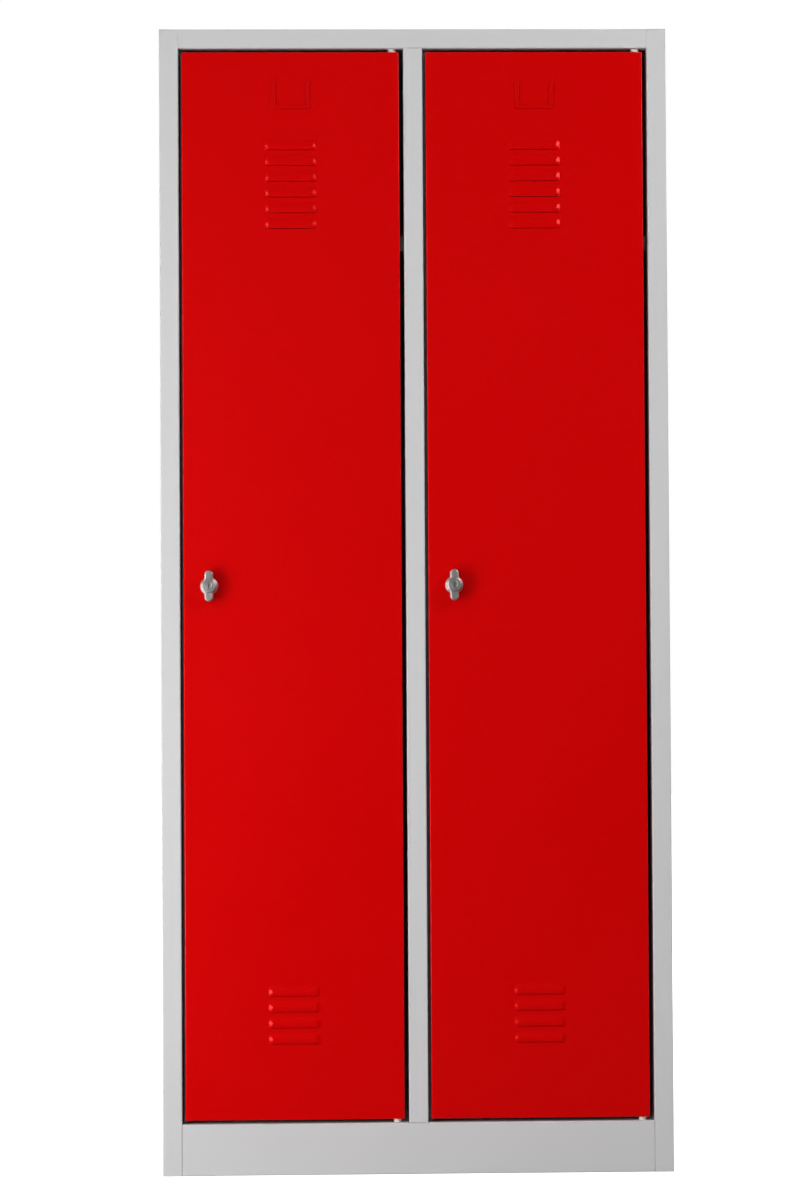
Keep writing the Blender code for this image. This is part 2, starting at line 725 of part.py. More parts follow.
def turn_knob(bay, middle):
    """Round hub with two wings, and the spindle that carries the latch tongue."""
    base = knob_base()
    front = base - KNOB_HEIGHT
    chamfer = HUB_RADIUS / 10
    shoulder = TONGUE_FRONT - DOOR_FRONT - CLEARANCE
    profile = [(SPINDLE_RADIUS, shoulder), (SPINDLE_RADIUS, base), (HUB_RADIUS, base),
               (HUB_RADIUS, front + chamfer), (HUB_RADIUS - chamfer, front)]
    point = lock_point(middle)
    knob = turned(bay + "_turn_knob", point, "Y", profile, satin_metal())
    wing = prism("wing", point, "Y", stadium(WING_WIDTH, WING_SPAN), base - CLEARANCE, base - WING_HEIGHT, None)
    round_edges(wing, WING_WIDTH / 8)
    join(knob, wing)
    square = TONGUE_SQUARE / 2
    corners = [(-square, -square), (square, -square), (square, square), (-square, square)]
    stud = prism("stud", point, "Y", corners, shoulder - TONGUE_SQUARE, shoulder + TONGUE_THICK, None)
    join(knob, stud)
    cut(knob, cylinder_tool(point, "Y", CYLINDER_RADIUS + CLEARANCE, front - KNOB_HEIGHT,
                            front + CYLINDER_DEPTH, ROUND_STEPS))
    tail = shoulder + TONGUE_THICK
    cut(knob, cylinder_tool(point, "Y", SCREW_RADIUS + CLEARANCE, tail - SCREW_LENGTH - CLEARANCE,
                            tail + TONGUE_THICK))
    shade_round(knob)
    return set_origin(knob, point)


def key_cylinder(bay, middle):
    front = knob_base() - KNOB_HEIGHT
    chamfer = CYLINDER_PROUD / 2
    profile = [(CYLINDER_RADIUS, front + CYLINDER_DEPTH - CLEARANCE), (CYLINDER_RADIUS, front - chamfer),
               (CYLINDER_RADIUS - chamfer, front - CYLINDER_PROUD)]
    point = lock_point(middle)
    core = turned(bay + "_key_cylinder", point, "Y", profile, satin_metal())
    half_width, half_height = KEYWAY_WIDTH / 2, KEYWAY_HEIGHT / 2
    corners = [(-half_width, -half_height), (half_width, -half_height),
               (half_width, half_height), (-half_width, half_height)]
    keyway = prism("keyway", point, "Y", corners, front - CYLINDER_DEPTH, front + KEYWAY_DEPTH, None)
    cut(core, keyway)
    shade_round(core)
    return set_origin(core, point)


def latch_tongue(bay, middle):
    """Flat cam that hangs clear of the frame and turns behind the latch lip."""
    half = TONGUE_WIDTH / 2
    tip = half * 0.75
    end = -TONGUE_LENGTH
    arc = [math.pi * i / ARC_STEPS for i in range(ARC_STEPS + 1)]
    outline = [(half * math.cos(a), half * math.sin(a)) for a in arc]
    outline += [(-tip, end + tip / 2), (-tip / 2, end), (tip / 2, end), (tip, end + tip / 2)]
    start = TONGUE_FRONT - DOOR_FRONT
    point = lock_point(middle)
    tongue = prism(bay + "_latch_tongue", point, "Y", outline, start, start + TONGUE_THICK, zinc_plate())
    square = TONGUE_SQUARE / 2 + CLEARANCE
    corners = [(-square, -square), (square, -square), (square, square), (-square, square)]
    cut(tongue, prism("tool", point, "Y", corners, start - TONGUE_THICK, start + 2 * TONGUE_THICK, None))
    return set_origin(tongue, point)


def tongue_screw(bay, middle):
    seat = TONGUE_FRONT - DOOR_FRONT + TONGUE_THICK + CLEARANCE
    chamfer = SCREW_HEAD / 4
    profile = [(SCREW_RADIUS, seat - SCREW_LENGTH), (SCREW_RADIUS, seat), (SCREW_HEAD_RADIUS, seat),
               (SCREW_HEAD_RADIUS, seat + SCREW_HEAD - chamfer),
               (SCREW_HEAD_RADIUS - chamfer, seat + SCREW_HEAD)]
    return turned(bay + "_tongue_screw", lock_point(middle), "Y", profile, zinc_plate(), FINE_ROUND_STEPS)


def door_buffer(bay, end, middle):
    """Rubber stud on the strike strip that the closed door rests against."""
    z = DOOR_TOP - BUFFER_MARGIN if end == "upper" else DOOR_BOTTOM + BUFFER_MARGIN
    start = DOOR_BACK + CLEARANCE
    length = STRIKE_FRONT - CLEARANCE - start
    dome = BUFFER_RADIUS / 4
    profile = [(BUFFER_RADIUS - dome, 0), (BUFFER_RADIUS, dome), (BUFFER_RADIUS, length)]
    centre = (door_left(middle) + BUFFER_RADIUS, start, z)
    return turned(bay + "_" + end + "_door_buffer", centre, "Y", profile, black_rubber(), FINE_ROUND_STEPS)


# Inside fittings

def bay_walls(bay):
    """Inner faces of the side wall and partition on either side of a compartment."""
    near = SHEET / 2
    far = RIGHT - SHEET
    return (-far, -near) if bay == "left" else (near, far)


def hat_shelf(bay):
    """Shelf with a hemmed front edge, and flanges down the sides and along the back."""
    left, right = bay_walls(bay)
    left += CLEARANCE
    right -= CLEARANCE
    front = FRONT + SHELF_SETBACK
    rear = REAR - 2 * (SHEET + CLEARANCE)
    low, high = front + FLANGE_SETBACK, rear - FLANGE_SETBACK
    side_left, side_right = left + FLANGE_SETBACK, right - FLANGE_SETBACK
    drop = SHELF_Z - EDGE_FLANGE
    outline = [(left, front), (right, front), (right, low), (right, high), (right, rear), (side_right, rear),
               (side_left, rear), (left, rear), (left, high), (left, low)]
    faces = [[(x, y, SHELF_Z) for x, y in outline]]
    for x in (left, right):
        faces.append([(x, low, SHELF_Z), (x, high, SHELF_Z), (x, high, drop), (x, low, drop)])
    faces += cross_strip([(rear, SHELF_Z), (rear, drop)], side_left, side_right)
    hem = SHELF_Z - SHELF_FRONT
    faces += cross_strip([(front, SHELF_Z), (front, hem), (front + SHELF_HEM, hem)], left, right)
    return sheet(bay + "_hat_shelf", faces, (0, 0, 1), grey_coat())


def rail_point(x):
    return (x, CLOTHES_RAIL_Y, CLOTHES_RAIL_Z)


def rail_socket(bay, side):
    """Cup on the wall that holds one end of the clothes rail."""
    left, right = bay_walls(bay)
    on_left = (bay == "left") == (side == "wall")
    inward = 1 if on_left else -1
    wall = left + CLEARANCE if on_left else right - CLEARANCE
    inner = (CLOTHES_RAIL_THICK + 2 * CLEARANCE, CLOTHES_RAIL_TALL + 2 * CLEARANCE)
    outer = tuple(size + 2 * SOCKET_WALL for size in inner)
    base = tuple(size + 2 * SOCKET_RIM for size in outer)
    steps = [(base, 0), (base, SOCKET_BASE), (outer, SOCKET_BASE), (outer, SOCKET_DEPTH),
             (inner, SOCKET_DEPTH), (inner, SOCKET_BASE)]
    rings = []
    for size, distance in steps:
        rings.append([along("X", rail_point(wall), a, b, inward * distance) for a, b in stadium(*size)])
    return shade_round(loft(bay + "_" + side + "_rail_socket", rings, ivory_nylon()))


def clothes_rail(bay):
    """Oval tube across the compartment."""
    left, right = bay_walls(bay)
    start = left + 2 * CLEARANCE + SOCKET_BASE
    end = right - 2 * CLEARANCE - SOCKET_BASE
    outer = stadium(CLOTHES_RAIL_THICK, CLOTHES_RAIL_TALL)
    inner = stadium(CLOTHES_RAIL_THICK - 2 * CLOTHES_RAIL_WALL, CLOTHES_RAIL_TALL - 2 * CLOTHES_RAIL_WALL)
    rings = []
    for outline, x in ((outer, start), (outer, end), (inner, end), (inner, start)):
        rings.append([along("X", rail_point(x), a, b, 0) for a, b in outline])
    return shade_round(loft(bay + "_clothes_rail", rings, zinc_plate(), closed=True))


def hook_bar_outline():
    """Side view of the bar below the ring: a stem, a half-round bend and an upturned tip."""
    half = HOOK_BAR / 2
    ring_bottom = -(CLOTHES_RAIL_TALL / 2 + CLEARANCE + HOOK_RING_WALL / 2)
    bend_z = ring_bottom - HOOK_STEM
    stem_y = HOOK_BEND / 3
    bend_y = stem_y - HOOK_BEND
    tip_z = bend_z + HOOK_TIP
    turns = [-math.pi * i / ARC_STEPS for i in range(ARC_STEPS + 1)]
    outer = [(bend_y + (HOOK_BEND + half) * math.cos(a), bend_z + (HOOK_BEND + half) * math.sin(a)) for a in turns]
    inner = [(bend_y + (HOOK_BEND - half) * math.cos(a), bend_z + (HOOK_BEND - half) * math.sin(a)) for a in turns]
    tip_y = bend_y - HOOK_BEND
    tip = [(tip_y + half * math.cos(a), tip_z + half * math.sin(a)) for a in
           [math.pi - math.pi * i / ARC_STEPS for i in range(ARC_STEPS + 1)]]
    return [(stem_y + half, ring_bottom)] + outer + tip + inner[::-1] + [(stem_y - half, ring_bottom)]


def coat_hook(bay, number):
    """Hook that slides on the clothes rail."""
    left, right = bay_walls(bay)
    x = (left + right) / 2 + (number - (HOOK_COUNT + 1) / 2) * HOOK_SPACING
    inner = (CLOTHES_RAIL_THICK + 2 * CLEARANCE, CLOTHES_RAIL_TALL + 2 * CLEARANCE)
    outer = tuple(size + 2 * HOOK_RING_WALL for size in inner)
    half = HOOK_RING_LENGTH / 2
    rings = []
    for size, distance in ((outer, -half), (outer, half), (inner, half), (inner, -half)):
        rings.append([along("X", rail_point(x), a, b, distance) for a, b in stadium(*size)])
    hook = loft(bay + "_coat_hook_" + str(number), rings, black_plastic(), closed=True)
    bar = prism("bar", rail_point(x), "X", hook_bar_outline(), -HOOK_THICK / 2, HOOK_THICK / 2, None)
    join(hook, bar)
    shade_round(hook)
    return set_origin(hook, rail_point(x))


# Assembly

def build_cabinet():
    side_panel("left", LEFT, 1)
    side_panel("right", RIGHT, -1)
    back_panel()
    top_panel()
    plinth()
    floor_panel()
    centre_stile()
    centre_partition()


def build_door(bay, middle):
    strike_strip(bay, middle)
    door_panel(bay, middle)
    door_stiffener(bay, middle)
    label_holder(bay, middle)
    for end in ("upper", "lower"):
        hinge_bush(bay, end, middle)
        pivot_plate(bay, end, middle)
        pivot_pin(bay, end, middle)
        door_buffer(bay, end, middle)


def build_lock(bay, middle):
    lock_housing(bay, middle)
    lock_nut(bay, middle)
    turn_knob(bay, middle)
    key_cylinder(bay, middle)
    latch_tongue(bay, middle)
    tongue_screw(bay, middle)


def build_compartment(bay):
    hat_shelf(bay)
    clothes_rail(bay)
    for side in ("wall", "partition"):
        rail_socket(bay, side)
    for number in range(1, HOOK_COUNT + 1):
        coat_hook(bay, number)


def build_locker():
    clear_scene()
    build_cabinet()
    for bay, middle in BAYS:
        build_door(bay, middle)
        build_lock(bay, middle)
        build_compartment(bay)


build_locker()
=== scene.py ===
# Clothing locker: the finished look of a two-door sheet steel wardrobe, built round its solids.
# Lengths are in metres. The front faces -Y, Z is up, and the floor is at zero.

from math import atan2, cos, pi, radians, sin, sqrt

import bmesh
import bpy
from mathutils import Matrix, Vector


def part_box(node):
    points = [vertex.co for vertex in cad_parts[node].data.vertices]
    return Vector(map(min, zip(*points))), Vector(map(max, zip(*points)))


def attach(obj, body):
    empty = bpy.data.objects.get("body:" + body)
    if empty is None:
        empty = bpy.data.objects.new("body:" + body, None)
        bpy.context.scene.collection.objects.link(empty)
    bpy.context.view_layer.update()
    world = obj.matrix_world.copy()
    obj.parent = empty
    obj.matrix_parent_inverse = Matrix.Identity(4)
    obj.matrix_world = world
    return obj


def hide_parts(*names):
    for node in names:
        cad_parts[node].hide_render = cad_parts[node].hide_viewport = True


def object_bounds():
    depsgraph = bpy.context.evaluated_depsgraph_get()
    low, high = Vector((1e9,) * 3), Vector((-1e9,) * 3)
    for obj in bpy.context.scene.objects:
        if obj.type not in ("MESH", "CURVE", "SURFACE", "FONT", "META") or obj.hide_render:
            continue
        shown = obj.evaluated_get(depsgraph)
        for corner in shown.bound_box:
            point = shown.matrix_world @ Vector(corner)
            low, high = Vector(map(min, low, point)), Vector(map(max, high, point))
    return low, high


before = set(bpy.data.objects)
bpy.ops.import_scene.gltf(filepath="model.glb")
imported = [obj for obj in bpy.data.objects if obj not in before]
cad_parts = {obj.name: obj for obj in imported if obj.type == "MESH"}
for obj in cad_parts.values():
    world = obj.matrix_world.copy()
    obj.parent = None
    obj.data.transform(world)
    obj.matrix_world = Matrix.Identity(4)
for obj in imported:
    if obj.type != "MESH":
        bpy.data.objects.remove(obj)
solid_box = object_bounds()

MM = 0.001

# Sheet steel
SHEET = 0.8 * MM
FOLD_RADIUS = 1.6 * MM
FOLD_STEPS = 5
CLEARANCE = 0.3 * MM
BUTT_GAP = 0.5 * MM
PAINTED_SEAM = 0.12 * MM
CUT_REACH = 3 * MM
OVERLAP = 2 * MM

# Cabinet
LEFT, RIGHT = solid_box[0].x, solid_box[1].x
HEIGHT = solid_box[1].z
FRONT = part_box("plinth")[0].y
BACK = solid_box[1].y
REAR = BACK - SHEET - CLEARANCE
STILE_WIDTH = 30 * MM
STILE_REAR = FRONT + 40 * MM
RAIL_END = RIGHT - STILE_WIDTH - PAINTED_SEAM
INNER_LIP = 12 * MM
RAIL_UNDER = HEIGHT - 30 * MM
RAIL_RETURN = 25 * MM
PLINTH_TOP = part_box("plinth")[1].z
PLINTH_SILL = 30 * MM
PLINTH_FOOT = 20 * MM
SILL_OVERLAP = 10 * MM
EDGE_FLANGE = 18 * MM
FLANGE_SETBACK = 45 * MM
PANEL_TOP = HEIGHT - SHEET - CLEARANCE
FLOOR_TOP = PLINTH_TOP - SHEET - CLEARANCE
SHELF_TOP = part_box("left_hat_shelf")[1].z
SHELF_FRONT = 25 * MM
SHELF_HEM = 12 * MM

# Doors
DOOR_RECESS = 3 * MM
DOOR_LIP = 14 * MM
DOOR_FRONT = FRONT + DOOR_RECESS
END_GAP = 5.5 * MM
STIFFENER_CROWN = 50 * MM
STIFFENER_WING = 14 * MM

# Spot welds
WELD_RADIUS = 3 * MM
WELD_DEPTH = 0.25 * MM
WELD_PITCH = 115 * MM
WELD_STEPS = 20
# Shares of the radius and the depth
WELD_DENT = ((1, 1), (1, 0), (0.85, -0.5), (0.6, -0.85), (0.3, -1))

# Louvres pressed in the doors
LOUVRE_LENGTH = 83 * MM
LOUVRE_HEIGHT = 17.5 * MM
LOUVRE_RISE = 2.4 * MM
LOUVRE_SLOT = 0.25 * MM
LOUVRE_END = 8.2 * MM
LOUVRE_END_ROUND = 0.25
LOUVRE_CURVE = 1.25
LOUVRE_CREST = 0.66
LOUVRE_LIP_FALL = 0.45
LOUVRE_PITCH = 24.9 * MM
LOUVRE_END_COLUMNS = 18
LOUVRE_TORN_COLUMNS = 3
LOUVRE_MIDDLE_COLUMNS = 6
LOUVRE_ROWS = 14
UPPER_LOUVRES = 6
LOWER_LOUVRES = 4
UPPER_LOUVRE_DROP = 137.5 * MM
LOWER_LOUVRE_RISE = 118.5 * MM

# Label holder
LABEL_BAR = 6 * MM
LABEL_LIP = 0.6 * MM
LABEL_EDGE = 0.2 * MM

# Lock
NECK_RADIUS = 9 * MM
NECK_LENGTH = 13 * MM
ROSETTE_RADIUS = 14 * MM
ROSETTE_THICK = 3 * MM
ROSETTE_ROUND = 1.6 * MM
ROSETTE_RIM = 3.2 * MM
SPINDLE_RADIUS = 5.5 * MM
SPINDLE_SQUARE = 7 * MM
SPINDLE_OVERLAP = 3 * MM
SQUARE_LENGTH = 6 * MM
HUB_RADIUS = 12.5 * MM
HUB_STEP = 1.6 * MM
HUB_ROUND = 1.4 * MM
KNOB_HEIGHT = 20 * MM
KNOB_CHAMFER = 0.5 * MM
WING_SPAN = 49 * MM
WING_WIDTH = 13.5 * MM
WING_HEIGHT = 16 * MM
WING_FILLET = 4 * MM
WING_ROUND = 2.2 * MM
CYLINDER_RADIUS = 6.5 * MM
CYLINDER_BORE = 13 * MM
CYLINDER_ROUND = 0.5 * MM
CYLINDER_DISH = ((1.4 * MM, 0), (1.7 * MM, 0.35 * MM))
KEYWAY_WIDTH = 2 * MM
KEYWAY_HEIGHT = 7.5 * MM
KEYWAY_DEPTH = 9 * MM
WARD_REACH = 0.9 * MM
WARD_HALF = 0.6 * MM
NUT_CHAMFER = 1.4 * MM
NUT_CORNER = 1.01
NUT_FACE = 0.89
TONGUE_EDGE = 0.5 * MM
TONGUE_TIP = 0.75
SHANK_RADIUS = 2 * MM
SCREW_HEAD = 3 * MM
SCREW_ROUND = 2 * MM
RECESS_REACH = 3.2 * MM
RECESS_WIDTH = 1.1 * MM
RECESS_DEPTH = 1.6 * MM

# Pivots and buffers
PIN_RADIUS = 3 * MM
PIN_HEAD = 3 * MM
PIN_HEAD_ROUND = 1.2 * MM
PIN_POINT = ((0, 0.8 * MM), (0.35 * MM, 0.25 * MM), (0.9 * MM, 0))
PIN_BORE = 3.3 * MM
BUSH_RADIUS = 4.8 * MM
BUSH_LEAD = 0.3 * MM
BUSH_EDGE = 0.5 * MM
PLATE_EDGE = 0.4 * MM
RIVET_RADIUS = 2.4 * MM
RIVET_RISE = 1.2 * MM
RIVET_PLACES = (0.2, 0.5)
RIVET_TURNS = (0, 0.3, 0.6, 0.9, 1.2, 1.45)
# Shares of the radius and the length
BUFFER_PROFILE = ((0.25, 0), (0.55, 0.05), (0.8, 0.16), (0.93, 0.34), (1, 0.6), (1, 1))

# Round pieces; over these angles, in degrees, edges are softened or stay sharp
ROUND_STEPS = 64
SMALL_STEPS = 40
ARC_STEPS = 14
CORNER_STEPS = 5
SOFT_ANGLE = 40
SHARP_ANGLE = 38
FINE_SHARP_ANGLE = 30
NUT_SHARP_ANGLE = 25

# Rail and hooks
RAIL_TALL = 30 * MM
RAIL_THICK = 15 * MM
RAIL_WALL = 1.5 * MM
SOCKET_RIM = 5 * MM
SOCKET_WALL = 3.5 * MM
SOCKET_BASE = 2.5 * MM
HOOK_RING_WALL = 3.5 * MM
HOOK_RING_LENGTH = 12 * MM
HOOK_THICK = 8 * MM
HOOK_BAR = 7 * MM
HOOK_BEND = 12 * MM
HOOK_STEM = 30 * MM
HOOK_TIP = 12 * MM
HOOK_RING_EDGE = 0.8 * MM
HOOK_BAR_EDGE = 1.5 * MM
HOOK_COUNT = 3

# Studio; a light has a place, an aim, a size and a power, and False keeps it out of reflections
FLOOR_RADIUS = 14
FLOOR_DROP = 0.2 * MM
WORLD_LIGHT = 0.05
LIGHTS = [
    ("key_light", (-2.0, -1.8, 1.1), (0.0, FRONT, 1.1), (0.5, 1.9), 31),
    ("fill_light", (1.7, -1.7, 2.35), (0.0, FRONT, 0.95), (0.9, 0.9), 28),
    ("low_light", (-1.6, -1.5, 0.2), (0.0, FRONT, 0.95), (1.1, 0.4), 14.5),
    ("front_light", (-1.0, -5.5, 1.8), (0.0, FRONT, 0.9), (3.0, 2.2), 16, False),
    ("back_light", (0.8, 3.6, 2.8), (0.0, 0.2, 0.9), (2.0, 1.6), 110, False),
    ("side_light", (3.2, 0.7, 1.9), (RIGHT, 0.1, 0.9), (1.6, 1.8), 24),
    ("roof_light", (0.1, 0.8, 3.7), (0.0, 0.0, HEIGHT), (1.8, 1.2), 13, False),
]
HIGH_LIGHT_WAY = (0.3, 0.62, -0.74)
HIGH_LIGHT_STRENGTH = 0.57
HIGH_LIGHT_ANGLE = radians(55)

# Camera found from the four front corners of the locker in the photo
CAMERA_PLACE = (-0.1335, -4.9518, 0.7881)
CAMERA_YAW = radians(1.3292)
CAMERA_PITCH = radians(1.3430)
CAMERA_ROLL = radians(-0.3346)
CAMERA_LENS = 90

BAYS = ("left", "right")
ENDS = ("upper", "lower")


# Shader building

def add_node(tree, kind, inputs=None, **settings):
    """Node with its settings, its fixed values and its links to other nodes' outputs."""
    made = tree.nodes.new(kind)
    for key, value in settings.items():
        setattr(made, key, value)
    for key, value in (inputs or {}).items():
        if isinstance(value, bpy.types.NodeSocket):
            tree.links.new(value, made.inputs[key])
        else:
            made.inputs[key].default_value = value
    return made


def effect(name, build, inputs):
    """Shader node group with named inputs, from a function that gives its named outputs."""
    group = bpy.data.node_groups.new(name, "ShaderNodeTree")
    for label, value in inputs.items():
        socket = group.interface.new_socket(label, in_out="INPUT", socket_type="NodeSocketFloat")
        socket.default_value = value
    outputs = build(group, group.nodes.new("NodeGroupInput").outputs)
    for label, value in outputs.items():
        kind = "NodeSocketVector" if value.type == "VECTOR" else "NodeSocketFloat"
        group.interface.new_socket(label, in_out="OUTPUT", socket_type=kind)
    put = group.nodes.new("NodeGroupOutput").inputs
    for label, value in outputs.items():
        group.links.new(value, put[label])
    return group


def surface_noise(tree, scale, detail, roughness, stretch=None):
    """Noise fixed to the piece, so that it moves with it."""
    place = add_node(tree, "ShaderNodeTexCoord").outputs["Object"]
    if stretch:
        place = add_node(tree, "ShaderNodeMapping", {"Vector": place, "Scale": stretch}).outputs[0]
    inputs = {"Vector": place, "Scale": scale, "Detail": detail, "Roughness": roughness}
    return add_node(tree, "ShaderNodeTexNoise", inputs).outputs[0]


def math_node(tree, operation, first, second):
    return add_node(tree, "ShaderNodeMath", {0: first, 1: second}, operation=operation).outputs[0]


def spread(tree, value, low, high, to_low=0.0, to_high=1.0):
    inputs = {"Value": value, "From Min": low, "From Max": high, "To Min": to_low, "To Max": to_high}
    return add_node(tree, "ShaderNodeMapRange", inputs).outputs[0]


def blend_colours(tree, share, first, second):
    made = add_node(tree, "ShaderNodeMix", {0: share, 6: first, 7: second}, data_type="RGBA")
    return made.outputs[2]


def coat_texture(tree, given):
    """Powder coat skin: soft orange peel, a finer grain on it, and broad patches of tone."""
    peel = surface_noise(tree, given["Peel Scale"], 1.0, 0.4)
    grain = surface_noise(tree, given["Grain Scale"], 2.0, 0.5)
    broad = math_node(tree, "MULTIPLY", peel, 0.75)
    fine = math_node(tree, "MULTIPLY", grain, 0.25)
    return {"Height": math_node(tree, "ADD", broad, fine), "Tone": surface_noise(tree, 2.6, 4.0, 0.55)}


def edge_rub(tree, given):
    """Rounded normal of sharp edges, and a broken mask of where hands and trolleys rub them."""
    rounded = add_node(tree, "ShaderNodeBevel", {"Radius": given["Reach"]}, samples=4).outputs[0]
    both = {0: rounded, 1: add_node(tree, "ShaderNodeNewGeometry").outputs["Normal"]}
    same = add_node(tree, "ShaderNodeVectorMath", both, operation="DOT_PRODUCT").outputs["Value"]
    edge = spread(tree, same, 0.995, 0.86)
    broken = spread(tree, surface_noise(tree, 60.0, 5.0, 0.65), 0.5, 0.7)
    mask = math_node(tree, "MULTIPLY", edge, broken)
    return {"Normal": rounded, "Mask": math_node(tree, "MULTIPLY", mask, given["Amount"])}


def settled_dust(tree, given):
    """Mask of dust on faces that look up."""
    normal = add_node(tree, "ShaderNodeNewGeometry").outputs["Normal"]
    rise = add_node(tree, "ShaderNodeSeparateXYZ", {0: normal}).outputs["Z"]
    upward = spread(tree, rise, 0.7, 1.0)
    patchy = spread(tree, surface_noise(tree, 14.0, 7.0, 0.6), 0.35, 0.75, 0.6, 1.0)
    mask = math_node(tree, "MULTIPLY", upward, patchy)
    return {"Mask": math_node(tree, "MULTIPLY", mask, given["Amount"])}


def drawn_lines(tree, given):
    """Fine parallel lines left by brushing or drawing, and broader clouding of the plate."""
    return {"Height": surface_noise(tree, given["Line Scale"], 2.0, 0.6, (0.04, 1.0, 1.0)),
            "Cloud": surface_noise(tree, given["Cloud Scale"], 4.0, 0.6)}


def moulded_grain(tree, given):
    """Fine pebbled skin of moulded plastic and rubber."""
    return {"Height": surface_noise(tree, given["Grain Scale"], 2.0, 0.5),
            "Tone": surface_noise(tree, 35.0, 3.0, 0.5)}


COAT_TEXTURE = effect("coat_texture", coat_texture, {"Peel Scale": 430.0, "Grain Scale": 1900.0})
EDGE_RUB = effect("edge_rub", edge_rub, {"Reach": 1.2 * MM, "Amount": 0.5})
SETTLED_DUST = effect("settled_dust", settled_dust, {"Amount": 0.3})
DRAWN_LINES = effect("drawn_lines", drawn_lines, {"Line Scale": 900.0, "Cloud Scale": 40.0})
MOULDED_GRAIN = effect("moulded_grain", moulded_grain, {"Grain Scale": 1400.0})
DEEPER_TONE = 0.965
DUST_DULLING = 0.9
PEEL_DEPTH = 0.4 * MM
PLATE_REACH = 0.4 * MM


def place_effect(tree, group, inputs=None):
    return add_node(tree, "ShaderNodeGroup", inputs, node_tree=group).outputs


def new_material(name, colour):
    made = bpy.data.materials.new(name)
    made.use_nodes = True
    made.diffuse_color = (*colour, 1.0)
    return made, made.node_tree, made.node_tree.nodes["Principled BSDF"].inputs


def bump(tree, height, strength, depth, normal=None):
    inputs = {"Height": height, "Strength": strength, "Distance": depth}
    if normal:
        inputs["Normal"] = normal
    return add_node(tree, "ShaderNodeBump", inputs).outputs[0]


def powder_coat(name, colour, rubbed, dusty, rub, dust, gloss, mirror, shine):
    """Painted steel: toned colour, dull dust on ledges, rubbed edges and an orange peel skin."""
    made, tree, shader = new_material(name, colour)
    skin = place_effect(tree, COAT_TEXTURE)
    edges = place_effect(tree, EDGE_RUB, {"Amount": rub})
    ledges = place_effect(tree, SETTLED_DUST, {"Amount": dust})
    deeper = tuple(value * DEEPER_TONE for value in colour)
    toned = blend_colours(tree, skin["Tone"], (*deeper, 1), (*colour, 1))
    worn = blend_colours(tree, edges["Mask"], toned, (*rubbed, 1))
    tree.links.new(blend_colours(tree, ledges["Mask"], worn, (*dusty, 1)), shader["Base Color"])
    rough = spread(tree, skin["Tone"], 0.3, 0.7, gloss - 0.03, gloss + 0.04)
    dull = math_node(tree, "MULTIPLY", ledges["Mask"], DUST_DULLING)
    tree.links.new(math_node(tree, "ADD", rough, dull), shader["Roughness"])
    tree.links.new(bump(tree, skin["Height"], 0.22, PEEL_DEPTH, edges["Normal"]), shader["Normal"])
    shader["Specular IOR Level"].default_value = mirror
    shader["Specular Tint"].default_value = (*shine, 1)
    return name, made


def plated_metal(name, colour, cloudy, gloss, line_depth):
    made, tree, shader = new_material(name, colour)
    lines = place_effect(tree, DRAWN_LINES)
    edges = place_effect(tree, EDGE_RUB, {"Reach": PLATE_REACH, "Amount": 0.0})
    tree.links.new(blend_colours(tree, lines["Cloud"], (*cloudy, 1), (*colour, 1)), shader["Base Color"])
    tree.links.new(spread(tree, lines["Cloud"], 0.3, 0.7, gloss + 0.06, gloss - 0.04), shader["Roughness"])
    tree.links.new(bump(tree, lines["Height"], 0.25, line_depth, edges["Normal"]), shader["Normal"])
    shader["Metallic"].default_value = 1.0
    return name, made


def moulded(name, colour, paler, gloss, depth):
    made, tree, shader = new_material(name, colour)
    skin = place_effect(tree, MOULDED_GRAIN)
    tree.links.new(blend_colours(tree, skin["Tone"], (*colour, 1), (*paler, 1)), shader["Base Color"])
    tree.links.new(spread(tree, skin["Tone"], 0.3, 0.7, gloss - 0.04, gloss + 0.05), shader["Roughness"])
    tree.links.new(bump(tree, skin["Height"], 0.3, depth), shader["Normal"])
    shader["Specular IOR Level"].default_value = 0.4
    return name, made


FINISHES = dict([
    powder_coat(
        "grey_powder_coat", (0.597, 0.597, 0.604), rubbed=(0.70, 0.70, 0.71), dusty=(0.52, 0.50, 0.47),
        rub=0.5, dust=0.35, gloss=0.42, mirror=0.3, shine=(1, 1, 1)),
    powder_coat(
        "red_powder_coat", (0.628, 0.0004, 0.0008), rubbed=(0.70, 0.03, 0.03), dusty=(0.50, 0.20, 0.18),
        rub=0.4, dust=0.3, gloss=0.215, mirror=1.0, shine=(1, 0.1, 0.1)),
    plated_metal("satin_nickel", (0.70, 0.685, 0.67), (0.62, 0.605, 0.59), gloss=0.46, line_depth=0.03 * MM),
    plated_metal("zinc_plate", (0.62, 0.63, 0.65), (0.48, 0.49, 0.52), gloss=0.36, line_depth=0.05 * MM),
    moulded("ivory_nylon", (0.78, 0.75, 0.67), (0.83, 0.81, 0.75), gloss=0.45, depth=0.06 * MM),
    moulded("black_rubber", (0.022, 0.022, 0.022), (0.035, 0.034, 0.033), gloss=0.75, depth=0.12 * MM),
    moulded("black_plastic", (0.028, 0.028, 0.03), (0.04, 0.04, 0.043), gloss=0.4, depth=0.05 * MM),
])


# Shape helpers

def link_object(name, data):
    thing = bpy.data.objects.new(name, data)
    bpy.context.scene.collection.objects.link(thing)
    return thing


def link_mesh(name, bm):
    mesh = bpy.data.meshes.new(name)
    bm.to_mesh(mesh)
    bm.free()
    return link_object(name, mesh)


def place_object(name, bm):
    """Body with its faces turned outward."""
    bmesh.ops.recalc_face_normals(bm, faces=bm.faces)
    return link_mesh(name, bm)


def keep_shape(thing):
    """Make the shape that the modifiers give the piece's own mesh."""
    graph = bpy.context.evaluated_depsgraph_get()
    shaped = bpy.data.meshes.new_from_object(thing.evaluated_get(graph))
    thing.modifiers.clear()
    thing.data = shaped
    return thing


